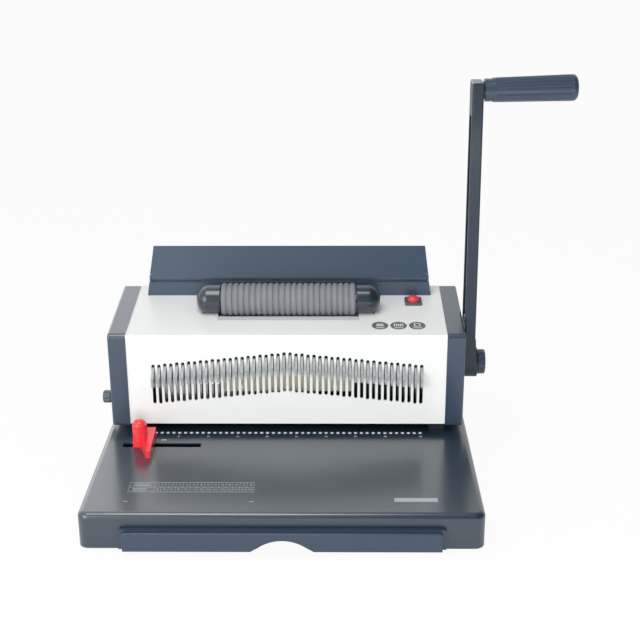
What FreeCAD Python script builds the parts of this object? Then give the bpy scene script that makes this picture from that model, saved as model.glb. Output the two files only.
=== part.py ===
"""Desktop coil punch and bind machine.

A steel base with a chip tray carries a side framed punch unit under a white
housing.  A side handle turns a shaft whose pinions push a beam with 46 punch
pins down through a die.  An electric rubber roller on top winds coils in.

The machine is modelled standing on a desk: Z is up from the desk, X = 0 is
the middle of the base and Y = 0 is the white front wall, with Y to the back.
Every solid is then moved so that the origin is at the middle of the footprint.
"""
import FreeCAD
import Part
import math
import os
from FreeCAD import Vector

# Fits and small gaps
RUNNING_FIT = 0.05
SLIDE_GAP = 0.2
SEAT_GAP = 0.3
STEEL = 1.5

# Base
PLATFORM_TOP = 41.0
BASE_WIDTH = 390.4
BASE_FRONT = -178.0
BASE_REAR = 133.0
BASE_BOTTOM = 4.2
BASE_WALL = 2.0
BASE_CORNER = 10.0
BASE_EDGE = 6.0
PAN_FRONT = -138.0
PAN_GAP = 2.0
POST_RADIUS = 6.0
POST_INSET_SIDE = 20.0
POST_INSET_FRONT = 18.0
POST_INSET_REAR = 20.0
FOOT_RADIUS = 11.0
FOOT_SCREW_RADIUS = 2.0
FOOT_SCREW_HEAD = 4.0
FOOT_SCREW_RECESS = 1.0
FOOT_SCREW_HEAD_HEIGHT = 2.0
FOOT_SCREW_REACH = 10.0

# Chip tray
TRAY_OFFSET = 1.0
TRAY_HALF_WIDTH = 146.0
TRAY_REAR = 55.0
TRAY_TOP = 23.0
TRAY_WALL = 2.0
RIM_HALF_WIDTH = 156.8
RIM_TOP = 27.0
RIM_DEPTH = 4.0
PANEL_HALF_WIDTH = 152.8
PANEL_TOP = 25.3
PANEL_BOTTOM = 5.7
PANEL_DEPTH = 4.7
TRAY_CORNER = 3.0
GRIP_CUT_HALF = 30.4
GRIP_CUT_HEIGHT = 12.0
GRIP_CUT_SHOULDER = 4.3
GRIP_CUT_ARC_HALF = 23.1
RECESS_HALF = 36.0
RECESS_DEPTH = 38.0
RUNNER_THICK = 3.0
RUNNER_HEIGHT = 14.0

# Housing
THROAT = 9.8
HOUSING_HALF = 170.0
HOUSING_BEND = 112.0
HOUSING_SLOPE = 6.0
HOUSING_REAR = 123.0
HOUSING_FLANGE = 7.5
BEND_RADIUS = 2.5
COVER_THICK = 19.3
COVER_PROUD = 0.8
COVER_WALL = 2.2
COVER_BEND = 5.5
COVER_DROP = 3.0
COVER_BOSS_RADIUS = 5.0
COVER_BOSS_INSET = 24.0
COVER_CORNER = 4.0
COVER_EDGE = 2.2
PLATE_THICK = 4.0
PLATE_FRONT = 6.0
FLANGE_WIDTH = 18.0
FLANGE_THICK = 3.0
FLANGE_FRONT = 60.0
FLANGE_REAR = 115.0
FRAME_SCREW_INSET = 12.0
FRAME_SCREW_TOP = 2.4
FRAME_SCREW_REACH = 2.0
FRAME_SCREW_RADIUS = 2.5
FRAME_SCREW_HEAD = 4.5
BAR_FRONT = 104.0
BAR_DEPTH = 6.0
BAR_BOTTOM = 60.0
BAR_HEIGHT = 24.0

# Punch unit
HOLES = 46
PITCH = 6.35
PIN_RADIUS = 2.0
PIN_Y = 21.0
PATTERN_OFFSET = 0.7
STROKE = 22.0
DIE_FRONT = 8.0
DIE_REAR = 40.0
DIE_DEPTH = 8.0
LAND_INSET = 5.0
LAND_END_GAP = 14.0
GUIDE_REAR = 26.0
PAPER_GAP = 5.0
GUIDE_HEIGHT = 14.0
SPACER_WIDTH = 12.0
TIP_HIDE = 0.5
TIP_RISE = 6.0
ROW_RISE = 14.2
SLOT_WIDTH = 3.6
SLOT_END_BOTTOM = 33.4
SLOT_LENGTH = 45.6
TAB_THICK = 2.4
TAB_HEIGHT = 18.4
TAB_OUT = 11.0
TAB_STEP = 9.0
TAB_OVER_STROKE = 1.4
TAB_TOP_EDGE = 1.0
TAB_DOT_RADIUS = 0.8
BEAM_SIDE_GAP = 6.0
BEAM_FRONT = 14.0
BEAM_DEPTH = 14.0
BEAM_BOTTOM = 93.0
BEAM_TOP = 136.0
LIP_HALF = 70.5
LIP_DROP = 10.0
LIP_DEPTH = 5.0
BEAM_SCREW_RADIUS = 3.2
BEAM_SCREW_HEIGHT = 2.0
BEAM_SCREW_PITCH = 51.0
ROD_INSET = 14.0
ROD_RADIUS = 4.0
ROD_TOP = 147.0
SPRING_WALL = 1.6
STOP_BLADE_GAP = 0.5
STOP_BLADE_DEPTH = 7.5
STOP_UPSTAND = 3.5
STOP_TRAVEL = 2.0

# Rack and pinion drive
MODULE = 1.4
TEETH = 20
BACKLASH = 0.3
RACK_INSET = 20.0
RACK_WIDTH = 12.0
RACK_OFFSET = 8.0
PRESSURE_ANGLE = 20.0
PINION_INSET = 1.0
SHAFT_RADIUS = 7.0
SHAFT_Z = 62.0
SHAFT_END_GAP = 2.0
BUSH_WALL = 3.0
BUSH_FLANGE = 2.0

# Handle
HUB_GAP = 1.9
HUB_WIDTH = 16.4
HUB_RADIUS = 16.6
NECK_TOP = 94.5
NECK_WIDTH = 12.6
ARM_WIDTH = 11.6
ARM_TOP = 369.7
ARM_LEAN = 1.9
ARM_BOTTOM_DEPTH = 34.0
ARM_TOP_DEPTH = 26.0
ARM_RECESS_BOTTOM = 110.0
ARM_RECESS_TOP = 335.0
ARM_RECESS_DEPTH = 3.0
ARM_RECESS_EDGE = 5.0
TONGUE_THICK = 5.0
TONGUE_HALF = 9.0
TONGUE_HEIGHT = 26.0
ARM_SCREW_RADIUS = 2.5
ARM_SCREW_HEAD = 4.2
ARM_SCREW_SINK = 2.0
GRIP_AXIS = 360.6
GRIP_RISE = 1.6
WASHER_RADIUS = 9.0
WASHER_THICK = 1.6
COLLAR_RADIUS = 11.6
COLLAR_LENGTH = 8.0
GRIP_LENGTH = 85.8
GRIP_INNER_RADIUS = 12.4
GRIP_OUTER_RADIUS = 13.5
GRIP_FLUTES = 12
FLUTE_RADIUS = 1.6
BOLT_RADIUS = 4.0
BOLT_HEAD_RADIUS = 6.5
BOLT_HEAD_SINK = 2.4
BOLT_SHORT = 12.0
STAR_RADIUS = 13.5
STAR_THICK = 8.2
STAR_LOBES = 14
STAR_BORE = 4.0
STUD_LENGTH = 7.0

# Roller unit
ROLLER_Y = 60.0
ROLLER_Z = 131.0
ROLLER_RADIUS = 18.0
ROLLER_LEFT = -72.0
ROLLER_RIGHT = 73.6
ROLLER_RINGS = 23
RING_GROOVE = 1.0
RING_SHARE = 0.82
ROLLER_SHAFT_RADIUS = 4.0
CAP_GAP = 1.5
CAP_RADIUS = 16.0
CAP_LENGTH = 25.8
CAP_ROUND = 12.5
CAP_WALL = 2.0
CAP_INNER_WALL = 3.0
CAP_FOOT_FRONT = 52.0
CAP_FOOT_REAR = 80.0
ROLLER_BUSH_RADIUS = 6.0
ROLLER_BUSH_LENGTH = 5.0
OPENING_FRONT = 36.0
OPENING_REAR = 79.0
OPENING_OVERLAP = 2.1
LIP_STRIP = 8.5
TROUGH_RADIUS = 20.6
TROUGH_THICK = 1.0
TROUGH_REACH = 60.0
PULLEY_X = 82.0
PULLEY_WIDTH = 8.0
PULLEY_FLANGE = 1.0
PULLEY_FLANGE_RISE = 2.0
ROLLER_PULLEY_RADIUS = 8.0
MOTOR_PULLEY_RADIUS = 6.0
BELT_THICK = 1.5
BELT_WIDTH = 5.0
BELT_SLOT_GAP = 2.0
MOTOR_Y = 85.0
MOTOR_Z = 87.0
MOTOR_RADIUS = 18.0
MOTOR_LENGTH = 60.0
MOTOR_SHAFT_RADIUS = 3.0
MOTOR_SHAFT_SEAT = 8.0
GEARBOX_LENGTH = 14.0
GEARBOX_STEP = 1.0
BRACKET_X = 74.0
BRACKET_THICK = 3.0
BRACKET_FOOT = 15.0
BRACKET_RISE = 4.0

# Rail and lid
RAIL_FRONT = 97.5
RAIL_REAR = 116.0
RAIL_TOP = 137.6
RAIL_HALF_BOTTOM = 159.0
RAIL_TAPER = 2.2
RAIL_LEAN = 1.3
LID_LEAN = 26.0
LID_Y = 102.4
LID_Z = 141.5
LID_BARREL = 3.6
LID_LENGTH = 35.8
LID_THICK = 2.2
LID_BAND = 6.6
LID_BAND_PROUD = 0.8
LID_BAND_REAR = 1.0
LID_INSET = 0.5
LID_TAPER = 3.8
EAR_THICK = 2.0
LID_PIN_RADIUS = 1.5
LID_PIN_LENGTH = 10.0

# Button
BUTTON_X = 138.3
BUTTON_V = 80.8
BEZEL_SIZE = 19.0
BEZEL_HEIGHT = 2.5
BEZEL_BODY = 16.0
BEZEL_DEPTH = 12.0
BUTTON_RADIUS = 6.6
BUTTON_RISE = 5.6
BUTTON_DOME = 3.6
BUTTON_SKIRT = 6.0
BUTTON_TRAVEL = 3.0
SWITCH_SIZE = 13.0
SWITCH_HEIGHT = 8.0

# Edge stop
GUIDE_SLOT_LEFT = -173.3
GUIDE_SLOT_RIGHT = -90.6
GUIDE_SLOT_FRONT = -36.9
GUIDE_SLOT_WIDTH = 8.9
GUIDE_CORNER = 1.2
STOP_X = -154.7
SLIDER_HALF = 7.3
SLIDER_FRONT = -38.8
SLIDER_REAR = -21.0
SLIDER_HEIGHT = 6.5
FIN_TIP_Y = -63.5
FIN_REAR_Y = -13.0
FIN_FACE_X = -140.4
FIN_TIP_WIDTH = 4.6
FIN_REAR_WIDTH = 9.4
FIN_REAR_HEIGHT = 11.4
FIN_TIP_HEIGHT = 8.0
STOP_KNOB_RADIUS = 7.7
STOP_KNOB_HEIGHT = 22.6
STOP_KNOB_FLUTES = 12
STUD_RADIUS = 2.5
NUT_SIZE = 14.0
NUT_HEIGHT = 4.5

# Depth knob
DEPTH_Y = 41.5
DEPTH_Z = 23.0
DEPTH_RADIUS = 7.0
DEPTH_OUT = 16.0
DEPTH_LOBES = 5
DEPTH_SPINDLE_RADIUS = 3.0
CAM_GAP = 0.3
CAM_WIDTH = 5.0
CAM_INSET = 2.5
CAM_SWEEP = 1.25
STOP_END_GAP = 2.0
STOP_ABOVE_CAM = 6.0

# Rear
INLET_X = -138.0
INLET_Z = 104.0
INLET_WIDTH = 27.0
INLET_HEIGHT = 20.0
INLET_FLANGE = 2.5
INLET_FLANGE_THICK = 2.0
INLET_DEPTH = 18.0
INLET_WALL = 2.0
INLET_SOCKET_DEPTH = 15.0
BLADE_LENGTH = 9.0
BOARD_X = -85.0
BOARD_WIDTH = 70.0
BOARD_BOTTOM = 92.0
BOARD_HEIGHT = 46.0
BOARD_THICK = 1.6
BOARD_STANDOFF = 6.0
BOARD_HOLE_INSET = 5.0
RELAY_INSET = 8.0
RELAY_WIDTH = 18.0
RELAY_HEIGHT = 16.0
RELAY_THICK = 3.5
RELAY_BOTTOM = 10.0
CHIP_INSET = 36.0
CHIP_WIDTH = 16.0
CHIP_HEIGHT = 8.0
CHIP_THICK = 2.0
CHIP_BOTTOM = 12.0
STORE_INSET = 44.0
STORE_BOTTOM = 34.0
STORE_RADIUS = 5.0
STORE_THICK = 3.0
REAR_SCREW_RADIUS = 1.5
REAR_SCREW_HEAD = 1.9
REAR_SCREW_LOW = 70.0
REAR_SCREW_HIGH = 150.0
REAR_SCREW_LENGTH = 8.0
REAR_SCREW_TOP = 1.8

# Worked out from the sizes above
SLOPE = math.radians(HOUSING_SLOPE)
BASE_HALF = BASE_WIDTH / 2.0
HOUSING_BOTTOM = PLATFORM_TOP + THROAT
BEND_Z = PLATFORM_TOP + HOUSING_BEND
PLATFORM_UNDER = PLATFORM_TOP - BASE_WALL
PAN_TOP = BASE_BOTTOM + STEEL
GUIDE_BOTTOM = PLATFORM_TOP + PAPER_GAP
GUIDE_TOP = GUIDE_BOTTOM + GUIDE_HEIGHT
PLATE_INNER = HOUSING_HALF - PLATE_THICK
BEAM_HALF = PLATE_INNER - BEAM_SIDE_GAP
LAND_HALF = PLATE_INNER - LAND_END_GAP
ROD_X = PLATE_INNER - ROD_INSET
RACK_X = PLATE_INNER - RACK_INSET
TAB_OVER_SLOT = STROKE + TAB_OVER_STROKE
COVER_OUTER = HOUSING_HALF + COVER_THICK
HUB_X = COVER_OUTER + HUB_GAP
PANEL_INNER_Y = HOUSING_REAR - STEEL
PITCH_RADIUS = MODULE * TEETH / 2.0
RACK_ROOT_DEPTH = 1.25 * MODULE
BEAM_REAR = BEAM_FRONT + BEAM_DEPTH
RACK_LINE = BEAM_REAR + RACK_OFFSET
SHAFT_Y = RACK_LINE + PITCH_RADIUS
SHAFT_HEIGHT = PLATFORM_TOP + SHAFT_Z
ARM_BASE = PLATFORM_TOP + NECK_TOP
ARM_END = PLATFORM_TOP + ARM_TOP
GRIP_Z = PLATFORM_TOP + GRIP_AXIS
ROLLER_HEIGHT = PLATFORM_TOP + ROLLER_Z
MOTOR_HEIGHT = PLATFORM_TOP + MOTOR_Z
STOP_Y = GUIDE_SLOT_FRONT + GUIDE_SLOT_WIDTH / 2.0
HINGE_Z = PLATFORM_TOP + LID_Z
DEPTH_HEIGHT = PLATFORM_TOP + DEPTH_Z
RAIL_TOP_Z = PLATFORM_TOP + RAIL_TOP
RAIL_HALF_TOP = RAIL_HALF_BOTTOM - RAIL_TAPER
LID_HALF_BOTTOM = RAIL_HALF_TOP - LID_INSET
COVER_BOTTOM = HOUSING_BOTTOM - COVER_DROP
CAP_LEFT = ROLLER_LEFT - CAP_GAP
CAP_RIGHT = ROLLER_RIGHT + CAP_GAP
ARM_X = HUB_X + 0.6
STOP_REAR = GUIDE_REAR + STOP_BLADE_GAP + STOP_BLADE_DEPTH
CAM_RADIUS = DEPTH_Y - STOP_REAR - CAM_GAP
GRIP_START = WASHER_THICK + SEAT_GAP
BOLT_END = GRIP_START + COLLAR_LENGTH + GRIP_LENGTH - BOLT_SHORT

X_AXIS = Vector(1, 0, 0)
Y_AXIS = Vector(0, 1, 0)
Z_AXIS = Vector(0, 0, 1)


def box(x0, x1, y0, y1, z0, z1):
    """Box between two corners."""
    return Part.makeBox(x1 - x0, y1 - y0, z1 - z0, Vector(x0, y0, z0))


def rod_x(x0, x1, y, z, radius):
    """Cylinder along X."""
    return Part.makeCylinder(radius, x1 - x0, Vector(x0, y, z), X_AXIS)


def rod_y(x, y0, y1, z, radius):
    """Cylinder along Y."""
    return Part.makeCylinder(radius, y1 - y0, Vector(x, y0, z), Y_AXIS)


def rod_z(x, y, z0, z1, radius):
    """Cylinder along Z."""
    return Part.makeCylinder(radius, z1 - z0, Vector(x, y, z0), Z_AXIS)


def prism(points, way):
    """Closed outline through the points, pushed along a vector."""
    corners = [Vector(*point) for point in points]
    return Part.Face(Part.makePolygon(corners + corners[:1])).extrude(Vector(*way))


def prism_x(outline, x0, x1):
    """Outline of (y, z) points pushed from x0 to x1."""
    return prism([(x0, y, z) for y, z in outline], (x1 - x0, 0, 0))


def hull(bottom, top):
    """Solid between two four cornered outlines, each a list of (x, y, z)."""
    faces = []
    for outline in (bottom, top):
        corners = [Vector(*point) for point in outline]
        faces.append(Part.Face(Part.makePolygon(corners + corners[:1])))
    for index in range(4):
        after = (index + 1) % 4
        ring = [bottom[index], bottom[after], top[after], top[index]]
        corners = [Vector(*point) for point in ring]
        faces.append(Part.Face(Part.makePolygon(corners + corners[:1])))
    rough = Part.Solid(Part.makeShell(faces))
    shell = Part.makeShell(rough.Faces)
    shell.sewShape()
    return Part.Solid(Part.Shell(shell.Faces))


def along(solid, axis, test=None):
    """Straight edges of a solid that run along an axis."""
    found = []
    for edge in solid.Edges:
        if not isinstance(edge.Curve, Part.Line):
            continue
        way = edge.tangentAt(edge.FirstParameter)
        if abs(abs(way.dot(axis)) - 1.0) > 1e-6:
            continue
        if test is None or test(edge.CenterOfMass):
            found.append(edge)
    return found


def join(*solids):
    """One solid from several that touch or overlap."""
    return solids[0].multiFuse(list(solids[1:])).removeSplitter()


def mirrored(solid):
    """The same solid on the other side of X = 0."""
    return solid.mirror(Vector(0, 0, 0), X_AXIS)


def slope_z(y, lift=0.0):
    """Height of the sloping top of the housing, moved along its normal."""
    return BEND_Z + y * math.tan(SLOPE) + lift / math.cos(SLOPE)


def on_slope(solid, x, v):
    """Put a solid made on the XY plane onto the sloping top, v mm behind the bend."""
    placed = solid.copy()
    placed.rotate(Vector(0, 0, 0), X_AXIS, HOUSING_SLOPE)
    placed.translate(Vector(x, v * math.cos(SLOPE), BEND_Z + v * math.sin(SLOPE)))
    return placed


def slot_x(index):
    """Middle of one punch position."""
    return PATTERN_OFFSET + (index - (HOLES - 1) / 2.0) * PITCH


def row_share(index):
    """0 at the ends of the row and 1 at its middle, stepping in pairs."""
    pairs = HOLES // 2
    middle = (pairs - 1) / 2.0
    return 1.0 - abs(index // 2 - middle) / middle


def slot_bottom(index):
    """Bottom of one slot in the front wall."""
    return PLATFORM_TOP + SLOT_END_BOTTOM + ROW_RISE * row_share(index)


def tab_bottom(index):
    """Bottom of one pull tab at rest."""
    return slot_bottom(index) + TAB_OVER_SLOT


def base_posts():
    """Places of the posts that the feet are screwed to."""
    side = BASE_HALF - POST_INSET_SIDE
    front = PAN_FRONT + POST_INSET_FRONT
    rear = BASE_REAR - POST_INSET_REAR
    return [(x, y) for x in (-side, side) for y in (front, rear)]


def base_block(inset):
    """Rounded block of the base, smaller by an inset all round."""
    block = box(-BASE_HALF + inset, BASE_HALF - inset, BASE_FRONT + inset, BASE_REAR - inset,
                BASE_BOTTOM - inset, PLATFORM_TOP - inset)
    block = block.makeFillet(BASE_CORNER - inset, along(block, Z_AXIS))
    top = [edge for edge in block.Edges if edge.CenterOfMass.z > PLATFORM_TOP - inset - 1e-6]
    return block.makeFillet(BASE_EDGE - inset, top)


def base_platform():
    """Pressed base with the paper table, chip slot, tray mouth and edge stop slot."""
    shell = base_block(0.0).cut(base_block(BASE_WALL))
    shell = shell.common(box(-BASE_HALF, BASE_HALF, BASE_FRONT, BASE_REAR, BASE_BOTTOM, PLATFORM_TOP))
    posts = [rod_z(x, y, PAN_TOP, PLATFORM_UNDER, POST_RADIUS) for x, y in base_posts()]
    shell = join(shell, *posts)
    land = box(-LAND_HALF - SLIDE_GAP, LAND_HALF + SLIDE_GAP, DIE_FRONT + LAND_INSET - SLIDE_GAP,
               DIE_REAR - LAND_INSET + SLIDE_GAP, PLATFORM_UNDER - 1.0, PLATFORM_TOP + 1.0)
    mouth = box(TRAY_OFFSET - TRAY_HALF_WIDTH - 1.0, TRAY_OFFSET + TRAY_HALF_WIDTH + 1.0,
                BASE_FRONT - 1.0, BASE_FRONT + BASE_WALL + 1.0, BASE_BOTTOM - 1.0, TRAY_TOP + 1.0)
    slot = box(GUIDE_SLOT_LEFT, GUIDE_SLOT_RIGHT, GUIDE_SLOT_FRONT,
               GUIDE_SLOT_FRONT + GUIDE_SLOT_WIDTH, PLATFORM_UNDER - 1.0, PLATFORM_TOP + 1.0)
    slot = slot.makeFillet(GUIDE_CORNER, along(slot, Z_AXIS))
    holes = [rod_z(x, y, PAN_TOP - 1.0, BASE_BOTTOM + FOOT_SCREW_REACH, FOOT_SCREW_RADIUS)
             for x, y in base_posts()]
    holes += [rod_z(x, y, PLATFORM_UNDER - 1.0, PLATFORM_TOP + 1.0, FRAME_SCREW_RADIUS)
              for x, y in frame_screw_places()]
    return shell.cut(Part.makeCompound([land, mouth, slot] + holes))


def base_pan():
    """Bottom plate behind the finger recess."""
    side = BASE_HALF - BASE_WALL - PAN_GAP
    pan = box(-side, side, PAN_FRONT, BASE_REAR - BASE_WALL - PAN_GAP, BASE_BOTTOM, PAN_TOP)
    pan = pan.makeFillet(BASE_CORNER - BASE_WALL, along(pan, Z_AXIS))
    holes = [rod_z(x, y, BASE_BOTTOM - 1.0, PAN_TOP + 1.0, FOOT_SCREW_RADIUS) for x, y in base_posts()]
    return pan.cut(Part.makeCompound(holes))


def rubber_feet():
    """Four rubber feet under the pan, each with a recess for its screw."""
    feet = []
    for x, y in base_posts():
        foot = rod_z(x, y, 0.0, BASE_BOTTOM, FOOT_RADIUS)
        foot = foot.makeFillet(1.0, [edge for edge in foot.Edges if edge.CenterOfMass.z < 0.01
                                     and isinstance(edge.Curve, Part.Circle)])
        head = rod_z(x, y, -1.0, FOOT_SCREW_RECESS + FOOT_SCREW_HEAD_HEIGHT, FOOT_SCREW_HEAD)
        shank = rod_z(x, y, 0.0, BASE_BOTTOM + 1.0, FOOT_SCREW_RADIUS)
        feet.append(foot.cut(head).cut(shank))
    return feet


def foot_screws():
    """Screws that hold the feet and the pan to the posts of the base."""
    screws = []
    for x, y in base_posts():
        top = FOOT_SCREW_RECESS + FOOT_SCREW_HEAD_HEIGHT
        head = rod_z(x, y, FOOT_SCREW_RECESS, top, FOOT_SCREW_HEAD)
        shank = rod_z(x, y, top, BASE_BOTTOM + FOOT_SCREW_REACH, FOOT_SCREW_RADIUS)
        screws.append(join(head, shank))
    return screws


def chip_tray():
    """Drawer for the punched chips, with a stepped front and a finger cut."""
    rim_front = BASE_FRONT - SEAT_GAP - RIM_DEPTH
    left = TRAY_OFFSET - TRAY_HALF_WIDTH
    right = TRAY_OFFSET + TRAY_HALF_WIDTH
    floor = PAN_TOP + SEAT_GAP
    body = box(left, right, rim_front + RIM_DEPTH, TRAY_REAR, floor, TRAY_TOP)
    inner = box(left + TRAY_WALL, right - TRAY_WALL, rim_front + RIM_DEPTH + TRAY_WALL,
                TRAY_REAR - TRAY_WALL, floor + TRAY_WALL, TRAY_TOP + 1.0)
    recess_rear = rim_front + RIM_DEPTH + RECESS_DEPTH
    well = box(TRAY_OFFSET - RECESS_HALF - TRAY_WALL, TRAY_OFFSET + RECESS_HALF + TRAY_WALL,
               rim_front + RIM_DEPTH, recess_rear + TRAY_WALL, floor, TRAY_TOP)
    hollow = box(TRAY_OFFSET - RECESS_HALF, TRAY_OFFSET + RECESS_HALF,
                 rim_front + RIM_DEPTH, recess_rear, floor - 1.0, TRAY_TOP - TRAY_WALL)
    rim = box(TRAY_OFFSET - RIM_HALF_WIDTH, TRAY_OFFSET + RIM_HALF_WIDTH,
              rim_front, rim_front + RIM_DEPTH, PANEL_BOTTOM, RIM_TOP)
    rim = rim.makeFillet(TRAY_CORNER, along(rim, Y_AXIS, lambda c: c.z > RIM_TOP - 0.1))
    panel = box(TRAY_OFFSET - PANEL_HALF_WIDTH, TRAY_OFFSET + PANEL_HALF_WIDTH,
                rim_front - PANEL_DEPTH, rim_front, PANEL_BOTTOM, PANEL_TOP)
    panel = panel.makeFillet(TRAY_CORNER, along(panel, Y_AXIS, lambda c: c.z > PANEL_TOP - 0.1))
    face = [edge for edge in panel.Edges
            if edge.CenterOfMass.y < rim_front - PANEL_DEPTH + 0.01 and edge.CenterOfMass.z > PANEL_BOTTOM + 0.1]
    panel = panel.makeFillet(1.2, face)
    tray = join(body.cut(inner), well, rim, panel).cut(hollow)
    return tray.cut(grip_cut(rim_front - PANEL_DEPTH - 1.0, rim_front + RIM_DEPTH + 0.5))


def grip_cut(y0, y1):
    """Arched finger cut through the lower edge of the tray front."""
    shoulder = PANEL_BOTTOM + GRIP_CUT_SHOULDER
    points = [(-GRIP_CUT_HALF, PANEL_BOTTOM - 2.0), (-GRIP_CUT_HALF, PANEL_BOTTOM),
              (-GRIP_CUT_ARC_HALF, shoulder), (GRIP_CUT_ARC_HALF, shoulder),
              (GRIP_CUT_HALF, PANEL_BOTTOM), (GRIP_CUT_HALF, PANEL_BOTTOM - 2.0)]
    corner = [Vector(TRAY_OFFSET + x, y0, z) for x, z in points]
    crown = Vector(TRAY_OFFSET, y0, PANEL_BOTTOM + GRIP_CUT_HEIGHT)
    edges = [Part.makeLine(corner[0], corner[1]), Part.makeLine(corner[1], corner[2]),
             Part.Arc(corner[2], crown, corner[3]).toShape(), Part.makeLine(corner[3], corner[4]),
             Part.makeLine(corner[4], corner[5]), Part.makeLine(corner[5], corner[0])]
    return Part.Face(Part.Wire(edges)).extrude(Vector(0, y1 - y0, 0))


def tray_runners():
    """Two rails on the pan that guide the tray."""
    runners = []
    for side in (-1, 1):
        inner = TRAY_OFFSET + side * (TRAY_HALF_WIDTH + SEAT_GAP)
        outer = inner + side * RUNNER_THICK
        runners.append(box(min(inner, outer), max(inner, outer), PAN_FRONT, TRAY_REAR,
                           PAN_TOP, PAN_TOP + RUNNER_HEIGHT))
    return runners


def frame_screw_places():
    """Places of the screws through the feet of the frame plates."""
    x = PLATE_INNER - FLANGE_WIDTH / 2.0
    rows = (FLANGE_FRONT + FRAME_SCREW_INSET, FLANGE_REAR - FRAME_SCREW_INSET)
    return [(side * x, y) for side in (-1, 1) for y in rows]


def frame_plate():
    """Right hand side plate with its foot; the left one is its mirror image."""
    step = GUIDE_TOP
    outline = [(PLATE_FRONT, PLATFORM_TOP), (PLATE_FRONT, step), (STEEL + SLIDE_GAP, step),
               (STEEL + SLIDE_GAP, slope_z(STEEL + SLIDE_GAP, -STEEL)),
               (PANEL_INNER_Y, slope_z(PANEL_INNER_Y, -STEEL)), (PANEL_INNER_Y, PLATFORM_TOP)]
    plate = prism_x(outline, PLATE_INNER, HOUSING_HALF)
    foot = box(PLATE_INNER - FLANGE_WIDTH, PLATE_INNER, FLANGE_FRONT, FLANGE_REAR,
               PLATFORM_TOP, PLATFORM_TOP + FLANGE_THICK)
    plate = join(plate, foot)
    tools = [rod_x(PLATE_INNER - 1.0, HOUSING_HALF + 1.0, SHAFT_Y, SHAFT_HEIGHT, SHAFT_RADIUS + BUSH_WALL)]
    tools += [rod_z(x, y, PLATFORM_TOP - 1.0, PLATFORM_TOP + FLANGE_THICK + 1.0, FRAME_SCREW_RADIUS)
              for x, y in frame_screw_places() if x > 0]
    tools += [rod_y(x, PANEL_INNER_Y - REAR_SCREW_LENGTH, PANEL_INNER_Y + 1.0, z, REAR_SCREW_RADIUS)
              for x, z in rear_screw_places() if x > 0]
    return plate.cut(Part.makeCompound(tools))


def left_frame_plate():
    """Left side plate, with a hole for the depth spindle."""
    hole = rod_x(-HOUSING_HALF - 1.0, -PLATE_INNER + 1.0, DEPTH_Y, DEPTH_HEIGHT,
                 DEPTH_SPINDLE_RADIUS + RUNNING_FIT)
    return mirrored(frame_plate()).cut(hole)


def frame_screws():
    """Screws that hold the side plates to the base."""
    screws = []
    for x, y in frame_screw_places():
        top = PLATFORM_TOP + FLANGE_THICK
        head = rod_z(x, y, top, top + FRAME_SCREW_TOP, FRAME_SCREW_HEAD)
        shank = rod_z(x, y, PLATFORM_UNDER - FRAME_SCREW_REACH, top, FRAME_SCREW_RADIUS)
        screws.append(join(head, shank))
    return screws


def cross_bar():
    """Bar between the side plates."""
    return box(-PLATE_INNER, PLATE_INNER, BAR_FRONT, BAR_FRONT + BAR_DEPTH, BAR_BOTTOM, BAR_BOTTOM + BAR_HEIGHT)


def die_plate():
    """Die under the platform with a raised land flush with the table."""
    body = box(-PLATE_INNER, PLATE_INNER, DIE_FRONT, DIE_REAR, PLATFORM_UNDER - DIE_DEPTH, PLATFORM_UNDER)
    land = box(-LAND_HALF, LAND_HALF, DIE_FRONT + LAND_INSET, DIE_REAR - LAND_INSET,
               PLATFORM_UNDER, PLATFORM_TOP)
    holes = [rod_z(slot_x(i), PIN_Y, PLATFORM_UNDER - DIE_DEPTH - 1.0, PLATFORM_TOP + 1.0,
                   PIN_RADIUS + RUNNING_FIT) for i in range(HOLES)]
    return join(body, land).cut(Part.makeCompound(holes))


def throat_spacers():
    """Blocks that set the paper gap at both ends of the die."""
    inner = PLATE_INNER - SPACER_WIDTH
    block = box(inner, PLATE_INNER, DIE_FRONT, GUIDE_REAR - STOP_TRAVEL, PLATFORM_TOP, GUIDE_BOTTOM)
    return [mirrored(block), block]


def pin_guide_plate():
    """Plate above the paper gap that guides the pins."""
    plate = box(-PLATE_INNER, PLATE_INNER, DIE_FRONT, GUIDE_REAR, GUIDE_BOTTOM, GUIDE_TOP)
    plate = plate.makeChamfer(1.0, along(plate, X_AXIS, lambda c: c.y < DIE_FRONT + 0.1
                                         and c.z < GUIDE_BOTTOM + 0.1))
    holes = [rod_z(slot_x(i), PIN_Y, GUIDE_BOTTOM - 1.0, GUIDE_TOP + 1.0, PIN_RADIUS + RUNNING_FIT)
             for i in range(HOLES)]
    return plate.cut(Part.makeCompound(holes))


def guide_rods():
    """Two rods that guide the beam."""
    return [rod_z(x, PIN_Y, GUIDE_TOP, ROD_TOP, ROD_RADIUS) for x in (-ROD_X, ROD_X)]


def return_springs():
    """Sleeves round the guide rods that stand for the springs under the beam."""
    inner = ROD_RADIUS + 0.4
    low = GUIDE_TOP + SEAT_GAP
    high = BEAM_BOTTOM - SEAT_GAP
    return [rod_z(x, PIN_Y, low, high, inner + SPRING_WALL).cut(rod_z(x, PIN_Y, low, high, inner))
            for x in (-ROD_X, ROD_X)]


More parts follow.
